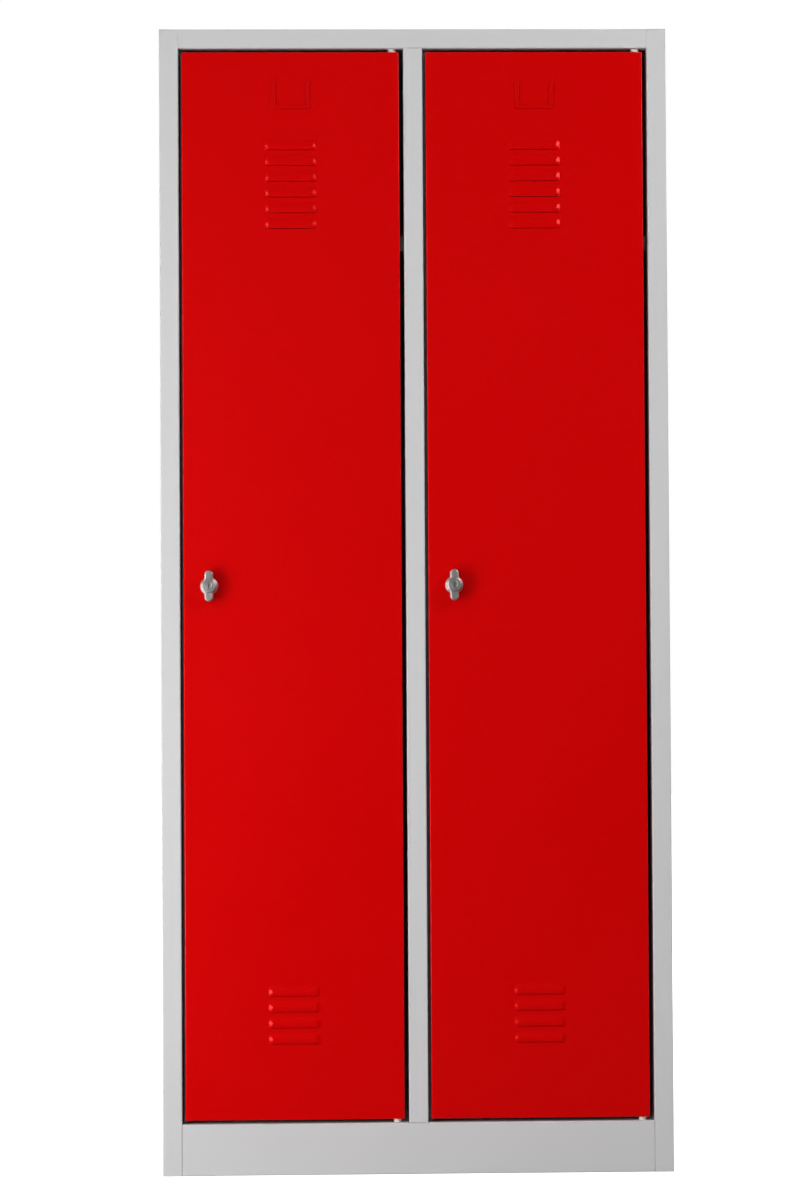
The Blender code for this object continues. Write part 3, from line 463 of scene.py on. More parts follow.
def combine(thing, tool, operation):
    step = thing.modifiers.new("combine", "BOOLEAN")
    step.operation = operation
    step.solver = "EXACT"
    step.object = tool
    keep_shape(thing)
    bpy.data.objects.remove(tool, do_unlink=True)


def cut(thing, tool):
    combine(thing, tool, "DIFFERENCE")


def join(thing, tool):
    combine(thing, tool, "UNION")


def soften(thing, width, steps=3):
    """Round the sharp edges."""
    step = thing.modifiers.new("rounded_edges", "BEVEL")
    step.width = width
    step.segments = steps
    step.limit_method = "ANGLE"
    step.angle_limit = radians(SOFT_ANGLE)
    keep_shape(thing)


def dress(thing, node, finish="grey_powder_coat", body="cabinet", sharp=SHARP_ANGLE):
    """Smooth a piece's curves, give it its finish, let it move with a body and stand for its solid."""
    thing.data.shade_smooth()
    thing.data.set_sharp_from_angle(angle=radians(sharp))
    flats = thing.modifiers.new("flat_faces", "WEIGHTED_NORMAL")
    flats.keep_sharp = True
    flats.weight = 80
    thing.data.materials.clear()
    thing.data.materials.append(FINISHES[finish])
    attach(thing, body)
    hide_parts(node)


def skin_rings(bm, rings, closed=False):
    """Faces through equal rings of points; the end rings are capped unless the last meets the first."""
    rows = [[bm.verts.new(point) for point in ring] for ring in rings]
    pairs = list(zip(rows, rows[1:]))
    if closed:
        pairs.append((rows[-1], rows[0]))
    for lower, upper in pairs:
        count = len(lower)
        for i in range(count):
            j = (i + 1) % count
            bm.faces.new((lower[i], lower[j], upper[j], upper[i]))
    if not closed:
        bm.faces.new(rows[0])
        bm.faces.new(rows[-1])


def loft(name, rings, closed=False):
    bm = bmesh.new()
    skin_rings(bm, rings, closed)
    return place_object(name, bm)


def along(axis, centre, across, up, distance):
    """Point at two cross positions and a distance along an axis, measured from a centre."""
    shifts = {"X": (distance, across, up), "Y": (across, distance, up), "Z": (across, up, distance)}
    return tuple(start + shift for start, shift in zip(centre, shifts[axis]))


def circle(radius, steps):
    turn = 2 * pi / steps
    return [(radius * cos(turn * i), radius * sin(turn * i)) for i in range(steps)]


def arc(a, b, radius, start, end, steps):
    """Points of an arc round (a, b) from one angle to another."""
    turns = [start + (end - start) * i / steps for i in range(steps + 1)]
    return [(a + radius * cos(turn), b + radius * sin(turn)) for turn in turns]


def rectangle(left, low, right, high):
    return [(left, low), (right, low), (right, high), (left, high)]


def square(half):
    return rectangle(-half, -half, half, half)


def stadium(thick, tall):
    """Outline with two straight sides and half-round ends, taller than it is thick."""
    radius = thick / 2
    upper = arc(0, tall / 2 - radius, radius, 0, pi, ARC_STEPS)
    return upper + [(-x, -y) for x, y in upper]


def outline_rings(centre, axis, levels):
    """Rings of points from (outline, distance along the axis) pairs."""
    return [[along(axis, centre, a, b, distance) for a, b in outline] for outline, distance in levels]


def stack(name, centre, axis, levels, closed=False):
    """Body through outlines that stand along an axis."""
    return loft(name, outline_rings(centre, axis, levels), closed)


def circles(profile, steps):
    return [(circle(radius, steps), distance) for radius, distance in profile]


def turned(name, centre, axis, profile, steps=ROUND_STEPS, closed=False):
    """Round body from a list of (radius, distance along the axis)."""
    return stack(name, centre, axis, circles(profile, steps), closed)


def oval_body(name, centre, ovals, closed=False):
    """Body along X through ovals given as ((thick, tall), distance)."""
    return stack(name, centre, "X", [(stadium(*size), distance) for size, distance in ovals], closed)


def prism(name, centre, axis, outline, start, end):
    return stack(name, centre, axis, [(outline, start), (outline, end)])


def rod(centre, axis, radius, start, end, steps=SMALL_STEPS):
    return prism("tool", centre, axis, circle(radius, steps), start, end)


def middle(node):
    low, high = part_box(node)
    return (low + high) / 2


def rounded_step(radius, distance, size, inward):
    """Quarter-round corner of a turned profile, from the side of the piece to its end face."""
    return arc(radius - size, distance - inward * size, size, 0, inward * pi / 2, CORNER_STEPS)


# Folded sheet

def folded_sheet(name, faces, outside):
    """Sheet steel piece from the flat faces of its outer skin; the first face looks towards outside."""
    bm = bmesh.new()
    corners = {}
    for face in faces:
        ring = []
        for point in face:
            key = tuple(round(value, 7) for value in point)
            if key not in corners:
                corners[key] = bm.verts.new(point)
            ring.append(corners[key])
        bm.faces.new(ring)
    bmesh.ops.recalc_face_normals(bm, faces=bm.faces)
    bm.faces.ensure_lookup_table()
    if bm.faces[0].normal.dot(Vector(outside)) < 0:
        bmesh.ops.reverse_faces(bm, faces=bm.faces)
    mark_folds(bm)
    thing = link_mesh(name, bm)
    folds = thing.modifiers.new("folds", "BEVEL")
    folds.width = FOLD_RADIUS
    folds.segments = FOLD_STEPS
    folds.limit_method = "WEIGHT"
    wall = thing.modifiers.new("wall", "SOLIDIFY")
    wall.thickness = SHEET
    wall.use_even_offset = True
    wall.use_quality_normals = True
    return keep_shape(thing)


def mark_folds(bm):
    """Weight the square corners between flat, straight faces, so that they are folded round."""
    weight = bm.edges.layers.float.new("bevel_weight_edge")
    for edge in bm.edges:
        if len(edge.link_faces) != 2:
            continue
        straight = all(max(abs(part) for part in face.normal) > 0.9999 for face in edge.link_faces)
        if straight and edge.calc_face_angle() > 1:
            edge[weight] = 1.0


def upright_strip(profile, low, high):
    """Faces of a sheet whose plan is a line of (x, y) points."""
    return [[(x0, y0, low), (x1, y1, low), (x1, y1, high), (x0, y0, high)]
            for (x0, y0), (x1, y1) in zip(profile, profile[1:])]


def cross_strip(profile, low, high):
    """Faces of a sheet whose side view is a line of (y, z) points."""
    return [[(low, y0, z0), (high, y0, z0), (high, y1, z1), (low, y1, z1)]
            for (y0, z0), (y1, z1) in zip(profile, profile[1:])]


def evenly(low, high):
    """Places of welds from low to high with about one pitch between them."""
    count = max(1, round((high - low) / WELD_PITCH))
    return [low + (high - low) * i / count for i in range(count + 1)]


def press_welds(thing, places, axis, outward):
    """Round dents that the tips of the spot welder leave in the face of a sheet."""
    profile = [(share * WELD_RADIUS, outward * lift * WELD_DEPTH) for share, lift in WELD_DENT]
    dent = circles(profile, WELD_STEPS)
    bm = bmesh.new()
    for place in places:
        skin_rings(bm, outline_rings(place, axis, dent))
    cut(thing, place_object("tool", bm))


# Cabinet

def side_wall(side, wall, inward):
    """Side wall and stile in one sheet, with flanges under the top, on the floor and at the back."""
    low, high = FRONT + FLANGE_SETBACK, REAR - FLANGE_SETBACK
    inner, edge = wall + inward * EDGE_FLANGE, wall + inward * STILE_WIDTH
    stops = (FRONT, low, high, REAR)
    faces = []
    for near, far in zip(stops, stops[1:]):
        faces += upright_strip([(wall, near), (wall, far)], 0, PANEL_TOP)
    for z in (0, PANEL_TOP):
        faces.append([(wall, low, z), (wall, high, z), (inner, high, z), (inner, low, z)])
    faces += upright_strip([(wall, REAR), (inner, REAR)], 0, PANEL_TOP)
    stile = [(wall, FRONT), (edge, FRONT), (edge, STILE_REAR), (edge - inward * INNER_LIP, STILE_REAR)]
    faces += upright_strip(stile, 0, PANEL_TOP)
    skin = folded_sheet(side + "_side_wall", faces, (-inward, 0, 0))
    flush_weld = [(edge, FRONT), (edge - inward * FOLD_RADIUS, FRONT), (edge, FRONT + FOLD_RADIUS)]
    join(skin, prism("tool", (0, 0, 0), "Z", flush_weld, RAIL_UNDER, PANEL_TOP))
    levels = [FLOOR_TOP - EDGE_FLANGE / 2, SHELF_TOP - EDGE_FLANGE / 2]
    places = [(wall, y, z) for z in levels for y in evenly(low + FLANGE_SETBACK, high - FLANGE_SETBACK)]
    press_welds(skin, places, "X", -inward)
    dress(skin, side + "_side_panel")


def back_wall():
    sheet = prism("back_wall", (0, 0, 0), "Y", rectangle(LEFT, 0, RIGHT, HEIGHT), BACK - SHEET, BACK)
    flange = EDGE_FLANGE / 2
    columns = (LEFT + flange, -flange, RIGHT - flange)
    levels = evenly(FLOOR_TOP + FLANGE_SETBACK, HEIGHT - 2 * FLANGE_SETBACK)
    places = [(x, BACK, z) for x in columns for z in levels]
    rows = (FLOOR_TOP - flange, SHELF_TOP - flange, HEIGHT - flange)
    span = evenly(FLANGE_SETBACK, RIGHT - 2 * FLANGE_SETBACK)
    places += [(side * x, BACK, z) for z in rows for side in (-1, 1) for x in span]
    press_welds(sheet, places, "Y", 1)
    dress(sheet, "back_panel")


def bush_hole(skin, bay, height):
    pin = middle(bay + "_upper_pivot_pin")
    cut(skin, rod((pin.x, pin.y, height), "Z", BUSH_RADIUS + CLEARANCE, -CUT_REACH, CUT_REACH))


def roof():
    """Top sheet over the side walls, with the front rail folded down between the stiles."""
    side, rear = RAIL_END, RAIL_END - EDGE_FLANGE
    outline = [(LEFT, FRONT), (-side, FRONT), (side, FRONT), (RIGHT, FRONT),
               (RIGHT, REAR), (rear, REAR), (-rear, REAR), (LEFT, REAR)]
    faces = [[(x, y, HEIGHT) for x, y in outline]]
    rail = [(FRONT, HEIGHT), (FRONT, RAIL_UNDER), (FRONT + RAIL_RETURN, RAIL_UNDER),
            (FRONT + RAIL_RETURN, RAIL_UNDER + INNER_LIP)]
    faces += cross_strip(rail, -side, side)
    faces += cross_strip([(REAR, HEIGHT), (REAR, HEIGHT - EDGE_FLANGE)], -rear, rear)
    skin = folded_sheet("roof_and_rail", faces, (0, 0, 1))
    for bay in BAYS:
        bush_hole(skin, bay, RAIL_UNDER)
    edge = RIGHT - EDGE_FLANGE / 2
    span = evenly(FRONT + 2 * FLANGE_SETBACK, REAR - 2 * FLANGE_SETBACK)
    press_welds(skin, [(x, y, HEIGHT) for x in (-edge, edge) for y in span], "Z", 1)
    dress(skin, "top_panel")


def plinth_board():
    profile = [(FRONT + PLINTH_FOOT, 0), (FRONT, 0), (FRONT, PLINTH_TOP), (FRONT + PLINTH_SILL, PLINTH_TOP)]
    skin = folded_sheet("plinth_board", cross_strip(profile, -RAIL_END, RAIL_END), (0, 0, -1))
    for bay in BAYS:
        bush_hole(skin, bay, PLINTH_TOP)
    dress(skin, "plinth")


def flanged_plate(outline, top, sides, span, rear, reach):
    """Faces of a flat sheet with a flange down each side, over a span, and one along the back."""
    low, high = span
    drop = top - EDGE_FLANGE
    faces = [[(x, y, top) for x, y in outline]]
    for x in sides:
        faces.append([(x, low, top), (x, high, top), (x, high, drop), (x, low, drop)])
    return faces + cross_strip([(rear, top), (rear, drop)], *reach)


def locker_floor():
    """Compartment floor, notched round the stiles, with its front edge under the plinth's sill."""
    front = FRONT + PLINTH_SILL - SILL_OVERLAP
    notch = STILE_REAR + BUTT_GAP
    wall, side = RIGHT - SHEET - CLEARANCE, RIGHT - STILE_WIDTH - BUTT_GAP
    rear = REAR - SHEET - CLEARANCE
    low, high = notch + FLANGE_SETBACK, rear - FLANGE_SETBACK
    inner = wall - FLANGE_SETBACK
    half = [(side, front), (side, notch), (wall, notch), (wall, low), (wall, high), (wall, rear),
            (inner, rear)]
    outline = half + [(-x, y) for x, y in reversed(half)]
    faces = flanged_plate(outline, FLOOR_TOP, (-wall, wall), (low, high), rear, (-inner, inner))
    dress(folded_sheet("compartment_floor", faces, (0, 0, 1)), "floor_panel")


def middle_stile():
    half = STILE_WIDTH / 2
    lip = half - INNER_LIP
    profile = [(-lip, STILE_REAR), (-half, STILE_REAR), (-half, FRONT), (half, FRONT),
               (half, STILE_REAR), (lip, STILE_REAR)]
    faces = upright_strip(profile, PLINTH_TOP + CLEARANCE, RAIL_UNDER - CLEARANCE)
    dress(folded_sheet("middle_stile", faces, (0, 1, 0)), "centre_stile")


def partition_wall():
    """Upright sheet between the compartments, flanged to the middle stile and the back."""
    half = SHEET / 2
    front, rear = STILE_REAR + CLEARANCE, REAR - SHEET - CLEARANCE
    profile = [(half - INNER_LIP, front), (half, front), (half, rear), (half - EDGE_FLANGE, rear)]
    faces = upright_strip(profile, PLINTH_TOP + CLEARANCE, PANEL_TOP)
    skin = folded_sheet("partition_wall", faces, (0, -1, 0))
    span = evenly(front + 2 * FLANGE_SETBACK, rear - 2 * FLANGE_SETBACK)
    press_welds(skin, [(half, y, SHELF_TOP - EDGE_FLANGE / 2) for y in span], "X", 1)
    dress(skin, "centre_partition")


def strike_angle(bay):
    """Angle on the latch side of the opening that stops the door and holds the latch tongue."""
    node = bay + "_strike_strip"
    low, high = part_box(node)
    profile = [(low.x, STILE_REAR), (low.x, low.y), (high.x, low.y)]
    skin = folded_sheet(bay + "_strike_angle", upright_strip(profile, low.z, high.z), (-1, 0, 0))
    dress(skin, node, "zinc_plate")


def shelf_tray(bay):
    """Shelf with a hemmed front edge, and flanges down the sides and along the back."""
    node = bay + "_hat_shelf"
    low_corner, high_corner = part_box(node)
    left, right, front, rear = low_corner.x, high_corner.x, low_corner.y, high_corner.y
    low, high = front + FLANGE_SETBACK, rear - FLANGE_SETBACK
    reach = (left + FLANGE_SETBACK, right - FLANGE_SETBACK)
    hem = SHELF_TOP - SHELF_FRONT
    outline = [(left, front), (right, front), (right, low), (right, high), (right, rear), (reach[1], rear),
               (reach[0], rear), (left, rear), (left, high), (left, low)]
    faces = flanged_plate(outline, SHELF_TOP, (left, right), (low, high), rear, reach)
    faces += cross_strip([(front, SHELF_TOP), (front, hem), (front + SHELF_HEM, hem)], left, right)
    dress(folded_sheet(bay + "_shelf_tray", faces, (0, 0, 1)), node)


# Doors

def louvre_ramp(share):
    """Rise of a hood's end, from 0 to 1: a straight ramp with a round foot and a round shoulder."""
    if share > 0.5:
        return 1 - louvre_ramp(1 - share)
    if share < LOUVRE_END_ROUND:
        return share ** 2 / (2 * LOUVRE_END_ROUND * (1 - LOUVRE_END_ROUND))
    return (share - LOUVRE_END_ROUND / 2) / (1 - LOUVRE_END_ROUND)


def louvre_depth(u, v):
    """Pressed depth of a hood, u along the louvre and v above its cut edge."""
    from_end = min(1.0, min(u, LOUVRE_LENGTH - u) / LOUVRE_END)
    from_top = max(0.0, LOUVRE_HEIGHT - v) / (LOUVRE_HEIGHT - LOUVRE_SLOT)
    climb = sin(pi / 2 * min(1.0, from_top / LOUVRE_CREST)) ** LOUVRE_CURVE
    fall = LOUVRE_LIP_FALL * max(0.0, (from_top - LOUVRE_CREST) / (1 - LOUVRE_CREST)) ** 2
    return LOUVRE_RISE * louvre_ramp(from_end) * (climb - fall)


def louvre_columns():
    """Positions along a louvre, close together on its ends."""
    end = [LOUVRE_END * i / LOUVRE_END_COLUMNS for i in range(LOUVRE_END_COLUMNS + 1)]
    inner = LOUVRE_LENGTH - 2 * LOUVRE_END
    centre = [LOUVRE_END + inner * i / LOUVRE_MIDDLE_COLUMNS for i in range(1, LOUVRE_MIDDLE_COLUMNS)]
    return end + centre + [LOUVRE_LENGTH - value for value in reversed(end)]


def louvre_starts(low, high):
    first_upper = high - UPPER_LOUVRE_DROP - LOUVRE_HEIGHT - (UPPER_LOUVRES - 1) * LOUVRE_PITCH
    lower = [low + LOWER_LOUVRE_RISE + LOUVRE_PITCH * i for i in range(LOWER_LOUVRES)]
    return lower + [first_upper + LOUVRE_PITCH * i for i in range(UPPER_LOUVRES)]


def louvre_field(left, low, high):
    """Rows of points over the louvred strip, each with a flag that says if a slot opens above it."""
    columns = louvre_columns()
    step = (LOUVRE_HEIGHT - LOUVRE_SLOT) / LOUVRE_ROWS
    levels = [LOUVRE_SLOT + step * i for i in range(LOUVRE_ROWS + 1)]
    rows = []
    for start in louvre_starts(low, high):
        rows.append(([(left + u, DOOR_FRONT, start) for u in columns], True))
        for level in levels:
            hood = [(left + u, DOOR_FRONT - louvre_depth(u, level), start + level) for u in columns]
            rows.append((hood, False))
    return rows


def louvre_faces(rows):
    """Hoods and the flat bands between them; each slot is open but for its torn ends."""
    faces = []
    for (lower, slot), (upper, _) in zip(rows, rows[1:]):
        last = len(lower) - 1
        for i in range(last):
            torn = i < LOUVRE_TORN_COLUMNS or i >= last - LOUVRE_TORN_COLUMNS
            if not slot or torn:
                faces.append([lower[i], lower[i + 1], upper[i + 1], upper[i]])
    return faces


def door_faces(low, high):
    """Door front with its louvres, edges folded back and lips folded in behind."""
    left, right, bottom, top = low.x, high.x, low.z, high.z
    rows = louvre_field((left + right - LOUVRE_LENGTH) / 2, bottom, top)
    first, last = rows[0][0], rows[-1][0]
    half = len(first) // 2
    seam = first[half][0]
    left_side = [row[0] for row, _ in rows]
    right_side = [row[-1] for row, _ in rows]
    seam_low, seam_high = (seam, DOOR_FRONT, bottom), (seam, DOOR_FRONT, top)
    left_part = [(left, DOOR_FRONT, bottom), seam_low] + first[half::-1] + left_side[1:]
    left_part += last[1:half + 1] + [seam_high, (left, DOOR_FRONT, top)]
    right_part = [seam_low, (right, DOOR_FRONT, bottom), (right, DOOR_FRONT, top), seam_high]
    right_part += last[half:] + right_side[-2::-1] + first[-2:half - 1:-1]
    faces = [left_part, right_part] + louvre_faces(rows)
    back = high.y
    for x, inner in ((left, left + DOOR_LIP), (right, right - DOOR_LIP)):
        faces.append([(x, DOOR_FRONT, bottom), (x, back, bottom), (x, back, top), (x, DOOR_FRONT, top)])
        faces.append([(x, back, bottom), (inner, back, bottom + DOOR_LIP),
                      (inner, back, top - DOOR_LIP), (x, back, top)])
        for z, inner_z in ((bottom, bottom + DOOR_LIP), (top, top - DOOR_LIP)):
            faces.append([(x, DOOR_FRONT, z), (seam, DOOR_FRONT, z), (seam, back, z), (x, back, z)])
            faces.append([(x, back, z), (seam, back, z), (seam, back, inner_z), (inner, back, inner_z)])
    return faces


def door_skin(bay):
    node = bay + "_door_panel"
    low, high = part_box(node)
    skin = folded_sheet(bay + "_door_skin", door_faces(low, high), (0, -1, 0))
    cut(skin, rod(lock_point(bay), "Y", NECK_RADIUS + CLEARANCE, -CUT_REACH, CUT_REACH))
    for end in ENDS:
        pin = middle(f"{bay}_{end}_pivot_pin")
        edge = high.z if end == "upper" else low.z
        cut(skin, rod((pin.x, pin.y, edge), "Z", PIN_BORE, -CUT_REACH, CUT_REACH))
    dress(skin, node, "red_powder_coat", bay + "_door")


def door_channel(bay):
    """Stiffening channel spot welded to the back of the door."""
    node = bay + "_door_stiffener"
    low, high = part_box(node)
    centre = (low.x + high.x) / 2
    crown = STIFFENER_CROWN / 2
    wing = crown + STIFFENER_WING
    line = [(-wing, low.y), (-crown, low.y), (-crown, high.y), (crown, high.y), (crown, low.y), (wing, low.y)]
    profile = [(centre + x, y) for x, y in line]
    skin = folded_sheet(bay + "_door_channel", upright_strip(profile, low.z, high.z), (0, -1, 0))
    reach = (crown + wing) / 2
    span = evenly(low.z + FLANGE_SETBACK, high.z - FLANGE_SETBACK)
    press_welds(skin, [(centre + side * reach, low.y + SHEET, z) for side in (-1, 1) for z in span], "Y", 1)
    dress(skin, node, "red_powder_coat", bay + "_door")


def label_holder(bay):
    """Card holder: a folded channel round three sides, open at the top."""
    node = bay + "_label_holder"
    low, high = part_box(node)
    thick = high.y - low.y
    hollow = thick - LABEL_LIP
    section = [(0, 0), (0, thick), (LABEL_BAR, thick), (LABEL_BAR, hollow),
               (LABEL_LIP, hollow), (LABEL_LIP, 0)]
    rings = []
    for x, z, side, level in ((low.x, high.z, 1, 0), (low.x, low.z, 1, 1), (high.x, low.z, -1, 1),
                              (high.x, high.z, -1, 0)):
        rings.append([(x + side * a, high.y - b, z + level * a) for a, b in section])
    holder = loft(bay + "_card_holder", rings)
    soften(holder, LABEL_EDGE, 2)
    dress(holder, node, "red_powder_coat", bay + "_door")


# Locks

def lock_point(bay):
    key = middle(bay + "_key_cylinder")
    return (key.x, DOOR_FRONT, key.z)


def lock_piece(bay, part):
    """Node of a lock's piece, the lock's point, the piece's front and back from it, and half its width."""
    node = f"{bay}_{part}"
    low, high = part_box(node)
    return node, lock_point(bay), low.y - DOOR_FRONT, high.y - DOOR_FRONT, (high.x - low.x) / 2


def lock_housing(bay):
    """Rosette on the face of the door, with the neck that goes through it."""
    bore = SPINDLE_RADIUS + CLEARANCE
    face = -CLEARANCE - ROSETTE_THICK
    profile = [(bore, face), (ROSETTE_RADIUS - ROSETTE_RIM, face)]
    profile += rounded_step(ROSETTE_RADIUS, face, ROSETTE_ROUND, -1)[::-1]
    profile += [(ROSETTE_RADIUS, -CLEARANCE), (NECK_RADIUS, -CLEARANCE),
                (NECK_RADIUS, NECK_LENGTH), (bore, NECK_LENGTH)]
    rosette = turned(bay + "_lock_rosette", lock_point(bay), "Y", profile, closed=True)
    dress(rosette, bay + "_lock_housing", "satin_nickel", bay + "_door")


def wing_outline(inset):
    """Round hub with two wings, filleted where they meet, all drawn in by an inset."""
    hub, half, fillet = HUB_RADIUS - inset, WING_WIDTH / 2 - inset, WING_FILLET + inset
    rise = sqrt((hub + fillet) ** 2 - (half + fillet) ** 2)
    start = atan2(rise, half + fillet)
    points = arc(0, 0, hub, 0, start, 10)
    points += arc(half + fillet, rise, fillet, pi + start, pi, 8)[1:]
    points += arc(0, WING_SPAN / 2 - WING_WIDTH / 2, half, 0, pi / 2, ARC_STEPS)
    upper = points + [(-x, y) for x, y in reversed(points[:-1])]
    return upper[:-1] + [(-x, -y) for x, y in upper[:-1]]


def turn_knob(bay):
    """Wing knob with a raised round face, a bore for the key cylinder and the spindle behind."""
    node, point, _, tail, _ = lock_piece(bay, "turn_knob")
    base = -2 * CLEARANCE - ROSETTE_THICK
    shoulder = base - WING_HEIGHT + WING_ROUND
    levels = [(KNOB_CHAMFER, base), (0.0, base - KNOB_CHAMFER)]
    levels += arc(WING_ROUND, shoulder, WING_ROUND, pi, 1.5 * pi, 6)
    outlines = [(wing_outline(inset), distance) for inset, distance in levels]
    knob = stack(bay + "_wing_knob", point, "Y", outlines)
    front, hub = base - KNOB_HEIGHT, HUB_RADIUS - HUB_STEP
    face = [(hub, base - WING_HEIGHT / 2)] + rounded_step(hub, front, HUB_ROUND, -1)
    join(knob, turned("tool", point, "Y", face))
    join(knob, rod(point, "Y", SPINDLE_RADIUS, base - OVERLAP, tail - SPINDLE_OVERLAP))
    join(knob, prism("tool", point, "Y", square(SPINDLE_SQUARE / 2), tail - SQUARE_LENGTH, tail))
    bore = CYLINDER_RADIUS + CLEARANCE
    cut(knob, rod(point, "Y", bore, front - 5 * MM, front + CYLINDER_BORE, ROUND_STEPS))
    dress(knob, node, "satin_nickel", bay + "_knob", FINE_SHARP_ANGLE)


def key_cylinder(bay):
    """Key cylinder with a dished face and a warded keyway."""
    node, point, front, rear, _ = lock_piece(bay, "key_cylinder")
    profile = [(CYLINDER_RADIUS, rear)] + rounded_step(CYLINDER_RADIUS, front, CYLINDER_ROUND, -1)
    profile += [(CYLINDER_RADIUS - inset, front + depth) for inset, depth in CYLINDER_DISH]
    core = turned(bay + "_key_core", point, "Y", profile)
    half, tall = KEYWAY_WIDTH / 2, KEYWAY_HEIGHT / 2
    ward = half + WARD_REACH
    keyway = [(-half, -tall), (half, -tall), (half, -WARD_HALF), (ward, -WARD_HALF),
              (ward, WARD_HALF), (half, WARD_HALF), (half, tall), (-half, tall)]
    cut(core, prism("tool", point, "Y", keyway, front - OVERLAP, front + KEYWAY_DEPTH))
    dress(core, node, "satin_nickel", bay + "_key", FINE_SHARP_ANGLE)


def lock_nut(bay):
    """Hexagon nut with chamfered corners."""
    node, point, start, end, radius = lock_piece(bay, "lock_nut")
    nut = prism(bay + "_hex_nut", point, "Y", circle(radius, 6), start, end)
    corner = radius * NUT_CORNER
    cone = [(corner, start - MM), (corner, end - NUT_CHAMFER), (radius * NUT_FACE, end)]
    combine(nut, turned("tool", point, "Y", cone), "INTERSECT")
    cut(nut, rod(point, "Y", NECK_RADIUS + CLEARANCE, start - MM, end + MM, ROUND_STEPS))
    dress(nut, node, "zinc_plate", bay + "_door", NUT_SHARP_ANGLE)


def latch_cam(bay):
    """Flat steel cam with rounded edges, a clipped tip and a square hole for the spindle."""
    node, point, start, end, half = lock_piece(bay, "latch_tongue")
    tip = TONGUE_TIP * half
    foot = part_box(node)[0].z - point[2]
    outline = arc(0, 0, half, 0, pi, ROUND_STEPS // 2)
    outline += [(-tip, foot + tip / 2), (-tip / 2, foot), (tip / 2, foot), (tip, foot + tip / 2)]
    cam = prism(bay + "_latch_cam", point, "Y", outline, start, end)
    soften(cam, TONGUE_EDGE)
    hole = square(SPINDLE_SQUARE / 2 + CLEARANCE)
    cut(cam, prism("tool", point, "Y", hole, start - MM, end + MM))
    dress(cam, node, "zinc_plate", bay + "_knob")


def tongue_screw(bay):
    """Pan head screw with a cross recess."""
    node, point, start, end, head = lock_piece(bay, "tongue_screw")
    under = end - SCREW_HEAD
    profile = [(SHANK_RADIUS, start), (SHANK_RADIUS, under), (head, under)]
    profile += rounded_step(head, end, SCREW_ROUND, 1)
    screw = turned(bay + "_pan_screw", point, "Y", profile, SMALL_STEPS)
    cut(screw, prism("tool", point, "Y", cross_outline(), end - RECESS_DEPTH, end + MM))
    dress(screw, node, "zinc_plate", bay + "_knob", FINE_SHARP_ANGLE)


def cross_outline():
    reach, half = RECESS_REACH, RECESS_WIDTH / 2
    lower = [(-reach, -half), (-half, -half), (-half, -reach), (half, -reach), (half, -half), (reach, -half)]
    return lower + [(-x, -y) for x, y in lower]


# Pivot hinges and buffers

def pivot_face(node, end):
    """Way in which a pivot points, and the height of a piece's face towards the middle of the door."""
    low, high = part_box(node)
    return (1, low.z) if end == "upper" else (-1, high.z)


def pivot_turned(name, node, end, profile, closed=False):
    """Round piece of a pivot from (radius, distance) steps, measured from that face."""
    centre = middle(node)
    up, face = pivot_face(node, end)
    profile = [(radius, up * distance) for radius, distance in profile]
    return turned(name, (centre.x, centre.y, face), "Z", profile, SMALL_STEPS, closed)


def hinge_bush(bay, end):
    """Bush with a collar that fills the gap beside the door, and a bore for the pin."""
    node = f"{bay}_{end}_hinge_bush"
    low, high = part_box(node)
    collar = END_GAP - 2 * CLEARANCE
    outer, length = (high.x - low.x) / 2, high.z - low.z
    nick = 0.3 * BUSH_EDGE
    profile = [(PIN_BORE, BUSH_LEAD), (PIN_BORE + BUSH_LEAD, 0), (outer - BUSH_EDGE, 0),
               (outer - nick, nick), (outer, BUSH_EDGE), (outer, collar), (BUSH_RADIUS, collar),
               (BUSH_RADIUS, length - BUSH_EDGE), (BUSH_RADIUS - BUSH_EDGE, length), (PIN_BORE, length)]
    dress(pivot_turned(f"{bay}_{end}_pivot_bush", node, end, profile, True), node, "ivory_nylon")


def pivot_pin(bay, end):
    """Pin with a rounded head and a tapered point."""
    node = f"{bay}_{end}_pivot_pin"
    low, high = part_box(node)
    head, length = (high.x - low.x) / 2, high.z - low.z
    profile = rounded_step(head, 0, PIN_HEAD_ROUND, -1)[::-1] + [(head, PIN_HEAD), (PIN_RADIUS, PIN_HEAD)]
    profile += [(PIN_RADIUS - inset, length - short) for inset, short in PIN_POINT]
    dress(pivot_turned(f"{bay}_{end}_hinge_pin", node, end, profile), node, "zinc_plate", bay + "_door")


def corner_plate(bay, end):
    """Plate in the corner of the door that carries the pin, held by two rivets."""
    node = f"{bay}_{end}_pivot_plate"
    low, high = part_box(node)
    pin = middle(f"{bay}_{end}_pivot_pin")
    up, face = pivot_face(node, end)
    outline = rectangle(low.x, low.y, high.x, high.y)
    plate = prism(f"{bay}_{end}_corner_plate", (0, 0, 0), "Z", outline, low.z, high.z)
    soften(plate, PLATE_EDGE)
    cut(plate, rod((pin.x, pin.y, low.z), "Z", PIN_RADIUS + CLEARANCE, -MM, high.z - low.z + MM))
    dome = [(RIVET_RADIUS, up * MM)]
    dome += [(RIVET_RADIUS * cos(a), -up * RIVET_RISE * sin(a)) for a in RIVET_TURNS]
    for share in RIVET_PLACES:
        place = (low.x + share * (pin.x - low.x), pin.y, face)
        join(plate, turned("tool", place, "Z", dome, SMALL_STEPS))
    dress(plate, node, "zinc_plate", bay + "_door")


def door_buffer(bay, end):
    node = f"{bay}_{end}_door_buffer"
    low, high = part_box(node)
    centre = middle(node)
    radius, length = (high.x - low.x) / 2, high.y - low.y
    profile = [(a * radius, b * length) for a, b in BUFFER_PROFILE]
    stud = turned(f"{bay}_{end}_rubber_stud", (centre.x, low.y, centre.z), "Y", profile, SMALL_STEPS)
    dress(stud, node, "black_rubber")


# Inside fittings

